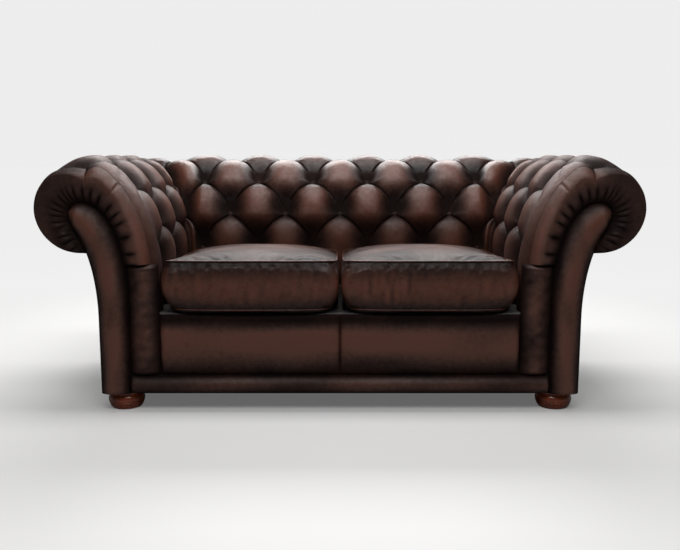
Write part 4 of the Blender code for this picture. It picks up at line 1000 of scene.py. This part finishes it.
def filled_cover(start, word, material):
    """Press a cushion's cover out from within, as its filling does, by a cloth simulation.

    The start is remeshed evenly, its seams are held and the cloth is a little larger than its
    frame. A point that the cloth moves by d ends swell * tanh(d / swell) from where it was, and
    inside the cushion's space.
    """
    scene = bpy.context.scene
    low, high = (np.array(corner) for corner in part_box(word + "_seat_cushion"))
    half = (high - low)[:2] / 2 - CUSHION_BULGE
    middle = (high + low)[:2] / 2
    work = bpy.data.objects.new("cushion_in_work", start.data.copy())
    scene.collection.objects.link(work)
    remesh = work.modifiers.new("Even mesh", "REMESH")
    remesh.mode = "VOXEL"
    remesh.voxel_size = CUSHION_VOXEL
    even = evaluated_mesh(work)
    work.modifiers.clear()
    work.data = even
    before = mesh_points(even)
    share = (before[:, :2] - middle) / half
    at_rim = np.abs(share).max(1) > 0.95
    to_seam = np.abs(before[:, 2] - top_seam(share[:, 1]))
    to_seam = np.minimum(to_seam, np.abs(before[:, 2] - SEAM_BOTTOM))
    held = work.vertex_groups.new(name="held")
    held.add(np.nonzero(at_rim & (to_seam < CUSHION_VOXEL))[0].tolist(), 1.0, "REPLACE")
    cloth = work.modifiers.new("Filling", "CLOTH")
    settings = cloth.settings
    settings.quality = 6
    settings.mass = 0.3
    settings.tension_stiffness = 15
    settings.compression_stiffness = 15
    settings.shear_stiffness = 6
    settings.bending_stiffness = 0.6
    settings.shrink_min = -0.025
    settings.use_pressure = True
    settings.uniform_pressure_force = 4
    settings.vertex_group_mass = held.name
    settings.effector_weights.gravity = 0
    cloth.collision_settings.use_collision = False
    for number in range(1, CUSHION_FRAMES + 1):
        scene.frame_set(number)
    move = mesh_points(evaluated_mesh(work)) - before
    length = np.maximum(np.linalg.norm(move, axis=1, keepdims=True), 1e-9)
    after = before + move * CUSHION_SWELL / length * np.tanh(length / CUSHION_SWELL)
    after = np.clip(after, low, high + np.array([0.0, 0.0, CUSHION_HEADROOM]))
    faces = [tuple(face.vertices) for face in even.polygons]
    bpy.data.objects.remove(work)
    scene.frame_set(1)
    share = np.clip((after[:, :2] - middle) / half, -1, 1)
    a, b = share.T
    x, y, z = after.T
    level = np.clip(2 * (z - SEAM_BOTTOM) / (top_seam(b) - SEAM_BOTTOM) - 1, -1, 1)
    streaks = ripple(x * 150, y * 150) * ripple(x * 23, y * 23, z * 30)
    # rubbed streaks, most where the boxing bellies out, with painted shade darker towards the top
    # seam
    on_side = (1 - level**2) * (0.55 + 0.45 * smooth((0.75 - level) / 0.8)) * (0.85 + 0.4 * streaks)
    on_top = 0.10 + 0.40 * cushion_dome(a, b) + 0.15 * ripple(a * 4, b * 5)
    over = z > top_seam(b) - 0.001
    rub_and_shade = np.where(over, on_top, on_side)
    gloss = np.where(over, 0.15 + 0.3 * on_top, 0.45 + 0.9 * on_side)
    bpy.data.objects.remove(start)
    obj = mesh_piece(word + "_cushion_cover", after, faces, material, rub_and_shade, gloss)
    finer = obj.modifiers.new("Finer", "SUBSURF")
    finer.levels = 1
    finer.render_levels = 1
    return obj


def mesh_points(mesh):
    """A mesh's points as one array."""
    points = np.empty(3 * len(mesh.vertices))
    mesh.vertices.foreach_get("co", points)
    return points.reshape(-1, 3)


def piping(name, loops, radius, material):
    """Round cords sewn into seams: a circle of this radius swept along each closed loop."""
    points = []
    faces = []
    turns = np.linspace(0, 2 * pi, 9)[:-1]
    across = np.cos(turns)[None, :, None]
    over = np.sin(turns)[None, :, None]
    for loop in loops:
        ahead = np.roll(loop, -1, 0) - np.roll(loop, 1, 0)
        ahead /= np.linalg.norm(ahead, axis=1, keepdims=True)
        side = np.cross(ahead, [0.0, 0.0, 1.0])
        side /= np.linalg.norm(side, axis=1, keepdims=True)
        upward = np.cross(side, ahead)
        ring = loop[:, None] + radius * (across * side[:, None] + over * upward[:, None])
        first = sum(len(part) for part in points)
        count, size = len(loop), len(turns)
        here = np.arange(count)[:, None] * size
        after = (np.arange(count) + 1)[:, None] % count * size
        near = np.arange(size)[None, :]
        beside = (near + 1) % size
        quads = np.stack([here + near, here + beside, after + beside, after + near], -1)
        faces += (quads.reshape(-1, 4) + first).tolist()
        points.append(ring.reshape(-1, 3))
    amounts = np.full(sum(len(part) for part in points), 0.5)
    return mesh_piece(name, np.concatenate(points), faces, material, amounts)


def turned_foot(name, x, y, material):
    """Bun foot turned about its axis: a flange, a cove, the bun with two cut rings, and a base."""
    heights, radii = np.array(FOOT_PROFILE).T
    turns = np.linspace(0, 2 * pi, 73)[:-1]
    radius, height = FOOT_RADIUS * radii[:, None], FOOT_HEIGHT * heights[:, None]
    ring = [x + radius * np.cos(turns), y + radius * np.sin(turns), height + 0 * turns]
    ring = np.stack(ring, -1)
    faces = grid_faces(len(radii), len(turns), wrap=True)
    return mesh_piece(name, ring, faces, material)


def node(tree, kind, inputs=None, **settings):
    """A shader node with its settings and inputs. An input is a value or another node's socket."""
    made = tree.nodes.new("ShaderNode" + kind)
    for key, value in settings.items():
        setattr(made, key, value)
    for key, value in (inputs or {}).items():
        if isinstance(value, bpy.types.NodeSocket):
            tree.links.new(value, made.inputs[key])
        else:
            made.inputs[key].default_value = value
    return made


def maths(tree, operation, first, second=0.0, third=0.5, clamp=False):
    """One sum on two or three values or sockets."""
    inputs = {0: first, 1: second, 2: third}
    return node(tree, "Math", inputs, operation=operation, use_clamp=clamp).outputs[0]


def noise(tree, place, scale, detail, roughness=0.5, output="Fac", **inputs):
    """Cloudy noise of this scale at these places."""
    inputs = {"Vector": place, "Scale": scale, "Detail": detail, "Roughness": roughness, **inputs}
    return node(tree, "TexNoise", inputs).outputs[output]


def ramp(tree, factor, stops):
    """A colour ramp through (place, colour) stops."""
    made = node(tree, "ValToRGB", {0: factor})
    elements = made.color_ramp.elements
    while len(elements) < len(stops):
        elements.new(0.5)
    for element, (place, colour) in zip(elements, stops):
        element.position = place
        element.color = (*colour, 1.0)
    return made.outputs[0]


def new_material(name):
    """An empty material with a Principled shader, and places on the object."""
    made = bpy.data.materials.new(name)
    made.use_nodes = True
    tree = made.node_tree
    shader = tree.nodes["Principled BSDF"]
    place = node(tree, "TexCoord").outputs["Object"]
    return made, tree, shader, place


def leather(name, colours, rub_and_shade_scale, roughness, least_gloss, gloss_rise):
    """Antiqued hide: dark in the folds and in painted shade, rubbed red where it stands out,
    grained and polished.
    """
    made, tree, shader, place = new_material(name)
    rub_and_shade = node(tree, "Attribute", attribute_name="rub_and_shade").outputs["Fac"]
    cloud = noise(tree, place, 7.0, 6.0, 0.62)
    speck = noise(tree, place, 70.0, 4.0, 0.6)
    amount = maths(tree, "MULTIPLY_ADD", rub_and_shade, rub_and_shade_scale, 0.0)
    mottle = maths(tree, "MULTIPLY", maths(tree, "SUBTRACT", cloud, 0.5), 0.55)
    fine = maths(tree, "MULTIPLY", maths(tree, "SUBTRACT", speck, 0.5), 0.22)
    amount = maths(tree, "ADD", maths(tree, "ADD", amount, mottle), fine, clamp=True)
    colour = ramp(tree, amount, [
        (0.0, colours.hide_dark_and_shade),
        (0.30, colours.hide_brown),
        (0.95, colours.hide_rubbed),
    ])
    tree.links.new(colour, shader.inputs["Base Color"])
    warp = noise(tree, place, 160.0, 2.0, output="Color")
    moved = node(tree, "MixRGB", {0: 0.006, 1: place, 2: warp}, blend_type="ADD").outputs[0]
    cells = {"Vector": moved, "Scale": 330.0}
    cells = node(tree, "TexVoronoi", cells, feature="DISTANCE_TO_EDGE").outputs[0]
    pebble = maths(tree, "MINIMUM", cells, 0.22)
    broad = noise(tree, place, 38.0, 5.0, 0.7)
    grain = node(tree, "Bump", {"Strength": 0.7, "Distance": 0.0014, "Height": pebble})
    swell = {"Strength": 0.30, "Distance": 0.0035, "Height": broad, "Normal": grain.outputs[0]}
    swell = node(tree, "Bump", swell)
    tree.links.new(swell.outputs[0], shader.inputs["Normal"])
    rough = maths(tree, "ADD", maths(tree, "MULTIPLY", speck, 0.22), roughness - 0.11)
    glossy = node(tree, "Attribute", attribute_name="gloss").outputs["Fac"]
    dull = maths(tree, "MULTIPLY", maths(tree, "SUBTRACT", 0.5, glossy, clamp=True), 1.2)
    rough = maths(tree, "ADD", rough, dull, clamp=True)
    tree.links.new(rough, shader.inputs["Roughness"])
    shader.inputs["Specular IOR Level"].default_value = 0.10
    glossy = maths(tree, "MULTIPLY", glossy, maths(tree, "MULTIPLY", speck, 2.0))
    gloss = maths(tree, "ADD", maths(tree, "MULTIPLY", glossy, gloss_rise), least_gloss, clamp=True)
    tree.links.new(gloss, shader.inputs["Coat Weight"])
    tree.links.new(swell.outputs[0], shader.inputs["Coat Normal"])
    shader.inputs["Coat Roughness"].default_value = roughness
    return made


def wood(name, colour, stretch, roughness, coat):
    """Timber: grain lines drawn out along the board, with fine pores."""
    made, tree, shader, place = new_material(name)
    long = node(tree, "Mapping", {"Vector": place, "Scale": stretch}).outputs[0]
    lines = noise(tree, long, 3.0, 7.0, 0.65, Distortion=0.6)
    pores = noise(tree, long, 16.0, 3.0)
    base = np.array(colour)
    tint = ramp(tree, lines, [(0.25, base * 0.45), (0.5, base), (0.75, np.minimum(base * 1.5, 1))])
    tree.links.new(tint, shader.inputs["Base Color"])
    bump = node(tree, "Bump", {"Strength": 0.25, "Distance": 0.0008, "Height": pores})
    tree.links.new(bump.outputs[0], shader.inputs["Normal"])
    rough = maths(tree, "MULTIPLY_ADD", pores, 0.2, roughness - 0.1)
    tree.links.new(rough, shader.inputs["Roughness"])
    shader.inputs["Coat Weight"].default_value = coat
    shader.inputs["Coat Roughness"].default_value = 0.12
    return made


def woven(name, colour, pitch):
    """Plain weave: two sets of threads that cross, and a little fluff."""
    made, tree, shader, place = new_material(name)
    split = node(tree, "SeparateXYZ", {0: place})
    turns = 2 * pi / pitch
    warp = maths(tree, "SINE", maths(tree, "MULTIPLY", split.outputs[0], turns))
    weft = maths(tree, "SINE", maths(tree, "MULTIPLY", split.outputs[1], turns))
    over = maths(tree, "MULTIPLY", warp, weft)
    fluff = noise(tree, place, 220.0, 4.0)
    height = maths(tree, "ADD", over, fluff)
    base = np.array(colour)
    factor = maths(tree, "MULTIPLY_ADD", over, 0.3, 0.5)
    tint = ramp(tree, factor, [(0.0, base * 0.6), (1.0, np.minimum(base * 1.7, 1))])
    tree.links.new(tint, shader.inputs["Base Color"])
    bump = node(tree, "Bump", {"Strength": 0.6, "Distance": 0.0006, "Height": height})
    tree.links.new(bump.outputs[0], shader.inputs["Normal"])
    shader.inputs["Roughness"].default_value = 0.9
    shader.inputs["Sheen Weight"].default_value = 0.3
    return made


def bare_steel(name, colour, roughness):
    """Drawn or plated steel with fine streaks and dull patches."""
    made, tree, shader, place = new_material(name)
    patch = noise(tree, place, 60.0, 5.0)
    base = np.array(colour)
    tint = ramp(tree, patch, [(0.3, base * 0.6), (0.7, np.minimum(base * 1.2, 1))])
    tree.links.new(tint, shader.inputs["Base Color"])
    rough = maths(tree, "MULTIPLY_ADD", patch, 0.3, roughness - 0.1)
    tree.links.new(rough, shader.inputs["Roughness"])
    bump = node(tree, "Bump", {"Strength": 0.2, "Distance": 0.0003, "Height": patch})
    tree.links.new(bump.outputs[0], shader.inputs["Normal"])
    shader.inputs["Metallic"].default_value = 1.0
    return made


def paint_node(name, material):
    """Give a carried-over solid its finish."""
    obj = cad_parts[name]
    for place in obj.material_slots:
        place.material = material
    if not obj.material_slots:
        obj.data.materials.append(material)


def hide_named(name, colours):
    """The leather of this name, made the first time it is asked for."""
    return bpy.data.materials.get(name) or leather(name, colours, *HIDES[name])


class SOFA_OT_buttoned_pads(bpy.types.Operator):
    """Build the buttoned leather of the back and both arms"""

    bl_idname = "sofa.buttoned_pads"
    bl_label = "Buttoned pads"

    def execute(self, context):
        sizes, colours = context.scene.sofa_sizes, context.scene.sofa_colours
        hide = hide_named("Buttoned leather", colours)
        dress(back_pad(sizes, hide), "antique_leather", "back_tufted_pad", fill=0.85)
        for word, side in SIDES:
            pad = arm_pad(word, side, sizes, hide)
            dress(pad, "antique_leather", word + "_arm_tufted_pad", fill=0.85)
        return {"FINISHED"}


class SOFA_OT_buttons(bpy.types.Operator):
    """Set a covered button in every dip of the pads"""

    bl_idname = "sofa.buttons"
    bl_label = "Covered buttons"

    def execute(self, context):
        sizes, colours = context.scene.sofa_sizes, context.scene.sofa_colours
        hide = hide_named("Buttoned leather", colours)
        lift = BUTTON_LIFT - sizes.button_sink
        rows = [(row, column) for row in (0, 2) for column in (-2, -1, 0, 1, 2)]
        rows += [(row, column) for row in (1, 3) for column in (-2.5, -1.5, -0.5, 0.5, 1.5, 2.5)]
        points, normals, columns = button_places(rows, lift)
        inset, z = points.T
        out, up = normals.T
        places = np.stack([columns * COLUMN_PITCH, HALF_DEPTH - inset, z], 1)
        outward = np.stack([0 * columns, -out, up], 1)
        dress(buttons("back_buttons", places, outward, sizes, hide), "antique_leather")
        for word, side in SIDES:
            rows = [(row, column) for row in (0, 2) for column in (4, 5)]
            rows += [(row, column) for row in (1, 3) for column in (3.5, 4.5, 5.5)]
            points, normals, columns = button_places(rows, lift)
            inset, z = points.T
            out, up = normals.T
            places = np.stack([side * (HALF_WIDTH - inset), arm_y(columns), z], 1)
            outward = np.stack([-side * out, 0 * columns, up], 1)
            made = buttons(word + "_arm_buttons", places, outward, sizes, hide)
            dress(made, "antique_leather")
            rows = [(0, CORNER_COLUMN), (2, CORNER_COLUMN)]
            points, normals, _ = button_places(rows, CORNER_BUTTON_LIFT - sizes.button_sink)
            inset, z = points.T
            out, up = normals.T
            places = np.stack([side * (HALF_WIDTH - inset), HALF_DEPTH - inset, z], 1)
            outward = np.stack([-side * out, -out, 1.4 * up], 1)
            made = buttons(word + "_corner_buttons", places, outward, sizes, hide)
            dress(made, "antique_leather")
        return {"FINISHED"}


class SOFA_OT_arm_fronts(bpy.types.Operator):
    """Build the facings, the gathered borders and the panels beside the seat"""

    bl_idname = "sofa.arm_fronts"
    bl_label = "Arm fronts"

    def execute(self, context):
        sizes, colours = context.scene.sofa_sizes, context.scene.sofa_colours
        hide = hide_named("Border leather", colours)
        for word, side in SIDES:
            dress(facing(word, side, hide), "facing_leather", word + "_arm_facing", fill=0.9)
            border = scroll_border(word, side, sizes, hide)
            dress(border, "facing_leather", word + "_scroll_border", fill=0.85)
            border = arm_front_border(word, side, hide)
            dress(border, "facing_leather", word + "_arm_front_border", fill=0.9)
        return {"FINISHED"}


class SOFA_OT_front_borders(bpy.types.Operator):
    """Build the border under the cushions and the band below it"""

    bl_idname = "sofa.front_borders"
    bl_label = "Front border and band"

    def execute(self, context):
        hide = hide_named("Border leather", context.scene.sofa_colours)
        dress(seat_border(hide), "facing_leather", "front_border", fill=0.9)
        dress(bottom_band(hide), "facing_leather", "bottom_band", fill=0.9)
        return {"FINISHED"}


class SOFA_OT_outside_panels(bpy.types.Operator):
    """Cover the outer sides of the arms and the back"""

    bl_idname = "sofa.outside_panels"
    bl_label = "Outside panels"

    def execute(self, context):
        hide = hide_named("Buttoned leather", context.scene.sofa_colours)
        panel = outside_panel("outside_back_panel", 1, 1, hide)
        dress(panel, "antique_leather", "outside_back_panel", fill=0.9)
        for word, side in SIDES:
            node_name = f"{word}_outside_arm_panel"
            panel = outside_panel(node_name, 0, side, hide)
            dress(panel, "antique_leather", node_name, fill=0.9)
        return {"FINISHED"}


class SOFA_OT_cushions(bpy.types.Operator):
    """Build the two loose seat cushions with their piping"""

    bl_idname = "sofa.cushions"
    bl_label = "Seat cushions"

    def execute(self, context):
        sizes, colours = context.scene.sofa_sizes, context.scene.sofa_colours
        hide = hide_named("Cushion leather", colours)
        for word, _ in SIDES:
            body = word + "_cushion"
            start = cushion_cover(word, sizes.crown - CUSHION_RISE, hide)
            cover = filled_cover(start, word, hide)
            dress(cover, "cushion_leather", word + "_seat_cushion", fill=0.8, body=body)
            low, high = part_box(word + "_seat_cushion")
            low = np.array(low) + CUSHION_BULGE - PIPING_PROUD
            high = np.array(high) - CUSHION_BULGE + PIPING_PROUD
            upper, depth = cushion_seam(low, high, SEAM_TOP_DRAW, 300)
            lower, _ = cushion_seam(low, high, SEAM_BOTTOM_DRAW, 300)
            loops = [
                np.column_stack([upper, top_seam(depth)]),
                np.column_stack([lower, 0 * depth + SEAM_BOTTOM]),
            ]
            cord = piping(word + "_cushion_piping", loops, sizes.piping_radius, hide)
            dress(cord, "cushion_leather", body=body)
        return {"FINISHED"}


class SOFA_OT_feet(bpy.types.Operator):
    """Turn the four mahogany feet"""

    bl_idname = "sofa.feet"
    bl_label = "Turned feet"

    def execute(self, context):
        colour = context.scene.sofa_colours.mahogany
        mahogany = wood("Polished mahogany", colour, (9, 9, 1.5), 0.28, 0.6)
        for name in ("left_front_foot", "right_front_foot", "left_rear_foot", "right_rear_foot"):
            low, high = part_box(name)
            x, y = ((np.array(low) + high) / 2)[:2]
            dress(turned_foot(name + "_turned", x, y, mahogany), "mahogany", name)
        return {"FINISHED"}


class SOFA_OT_frame_finishes(bpy.types.Operator):
    """Give the timber, springs, bolts and cloths inside their finishes"""

    bl_idname = "sofa.frame_finishes"
    bl_label = "Frame finishes"

    def execute(self, context):
        colours = context.scene.sofa_colours
        grains = {
            axis: wood("Beech along " + axis, colours.beech, stretch, 0.6, 0.0)
            for axis, stretch in (("X", (0.6, 8, 8)), ("Y", (8, 0.6, 8)), ("Z", (8, 8, 0.6)))
        }
        deck = woven("Platform cloth", colours.cloth, 0.0024)
        lining = woven("Dust cloth", colours.lining, 0.0016)
        wire = bare_steel("Spring wire", colours.steel, 0.35)
        zinc = bare_steel("Zinc plate", [min(1.0, 1.3 * part) for part in colours.steel], 0.3)
        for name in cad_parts:
            low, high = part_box(name)
            longest = "XYZ"[int(np.argmax(np.array(high) - low))]
            if name.endswith(("rail", "post", "block")):
                paint_node(name, grains[longest])
            elif "spring" in name:
                paint_node(name, wire)
            elif name.endswith("bolt"):
                paint_node(name, zinc)
        paint_node("seat_deck", deck)
        paint_node("dust_cover", lining)
        return {"FINISHED"}


class SOFA_OT_stage(bpy.types.Operator):
    """Set the floor, the backdrop, the lamps and the camera"""

    bl_idname = "sofa.stage"
    bl_label = "Stage"

    def execute(self, context):
        colours = context.scene.sofa_colours
        points = np.array([[x, y, 0.0] for y in (-8.0, 60.0) for x in (-30.0, 30.0)])
        mesh_piece("studio_floor", points, [[0, 1, 3, 2]], studio_paper(colours))
        for name, (place, turn, size, watts) in LAMPS.items():
            light = bpy.data.lights.new(name, "AREA")
            light.shape = "RECTANGLE"
            light.size, light.size_y = size
            light.energy = watts
            lamp = bpy.data.objects.new(name, light)
            lamp.location = place
            lamp.rotation_euler = [radians(part) for part in turn]
            context.scene.collection.objects.link(lamp)
        world = bpy.data.worlds.new("Studio")
        context.scene.world = world
        world.use_nodes = True
        tree = world.node_tree
        seen = node(tree, "LightPath").outputs["Is Camera Ray"]
        strength = maths(tree, "MULTIPLY_ADD", seen, 0.80, 0.05)
        background = tree.nodes["Background"]
        background.inputs["Color"].default_value = (1.0, 1.0, 1.0, 1.0)
        tree.links.new(strength, background.inputs["Strength"])
        context.scene.view_settings.view_transform = "Standard"
        data = bpy.data.cameras.new("Camera")
        data.lens = CAMERA_LENS
        data.sensor_width = 36.0
        camera = bpy.data.objects.new("Camera", data)
        camera.location = CAMERA_PLACE
        camera.rotation_euler = (CAMERA_TURN, 0.0, 0.0)
        context.scene.collection.objects.link(camera)
        context.scene.camera = camera
        return {"FINISHED"}


def studio_paper(colours):
    """Pale paper of the studio sweep, very slightly uneven."""
    made, tree, shader, place = new_material("Studio paper")
    cloud = noise(tree, place, 0.7, 2.0)
    base = np.array(colours.floor)
    tint = ramp(tree, cloud, [(0.3, base * 0.985), (0.7, base)])
    path = node(tree, "LightPath")
    seen, glossy = path.outputs["Is Camera Ray"], path.outputs["Is Glossy Ray"]
    away = {0: place, 1: (0.0, -0.6, 0.0)}
    away = node(tree, "VectorMath", away, operation="DISTANCE").outputs["Value"]
    spread = {"Value": away, "From Min": 1.2, "From Max": 3.4}
    spread = node(tree, "MapRange", spread, interpolation_type="SMOOTHERSTEP").outputs[0]
    distant = node(tree, "MixRGB", {0: spread, 1: tint, 2: (0.0, 0.0, 0.0, 1.0)}).outputs[0]
    unseen = {0: glossy, 1: (0.30, 0.29, 0.28, 1.0), 2: (0.25, 0.24, 0.235, 1.0)}
    unseen = node(tree, "MixRGB", unseen).outputs[0]
    paper = node(tree, "MixRGB", {0: seen, 1: unseen, 2: distant}).outputs[0]
    tree.links.new(paper, shader.inputs["Base Color"])
    shader.inputs["Roughness"].default_value = 0.85
    shade = maths(tree, "ADD", maths(tree, "MULTIPLY", spread, 0.73), 0.12)
    tree.links.new(maths(tree, "MULTIPLY", seen, shade), shader.inputs["Emission Strength"])
    shader.inputs["Emission Color"].default_value = (1.0, 1.0, 1.0, 1.0)
    return made


STEPS = (
    SOFA_OT_buttoned_pads,
    SOFA_OT_buttons,
    SOFA_OT_arm_fronts,
    SOFA_OT_front_borders,
    SOFA_OT_outside_panels,
    SOFA_OT_cushions,
    SOFA_OT_feet,
    SOFA_OT_frame_finishes,
    SOFA_OT_stage,
)


class SOFA_PT_panel(bpy.types.Panel):
    """Lists the sofa's sizes, colours and steps"""

    bl_label = "Buttoned sofa"
    bl_space_type = "VIEW_3D"
    bl_region_type = "UI"
    bl_category = "Sofa"

    def draw(self, context):
        for group in (context.scene.sofa_sizes, context.scene.sofa_colours):
            for name in group.__annotations__:
                self.layout.prop(group, name)
        for step in STEPS:
            self.layout.operator(step.bl_idname)


CLASSES = (SofaSizes, SofaColours, *STEPS, SOFA_PT_panel)


def register():
    """Register the classes and give the scene their settings."""
    for cls in CLASSES:
        bpy.utils.register_class(cls)
    bpy.types.Scene.sofa_sizes = PointerProperty(type=SofaSizes)
    bpy.types.Scene.sofa_colours = PointerProperty(type=SofaColours)


def unregister():
    """Undo register."""
    del bpy.types.Scene.sofa_sizes
    del bpy.types.Scene.sofa_colours
    for cls in reversed(CLASSES):
        bpy.utils.unregister_class(cls)


def main():
    """Build the sofa on its frame, step by step."""
    register()
    for name in ("Cube", "Light", "Camera"):
        if name in bpy.data.objects:
            bpy.data.objects.remove(bpy.data.objects[name])
    for step in STEPS:
        group, name = step.bl_idname.split(".")
        getattr(getattr(bpy.ops, group), name)()
    bpy.context.view_layer.update()


if __name__ == "__main__":
    main()
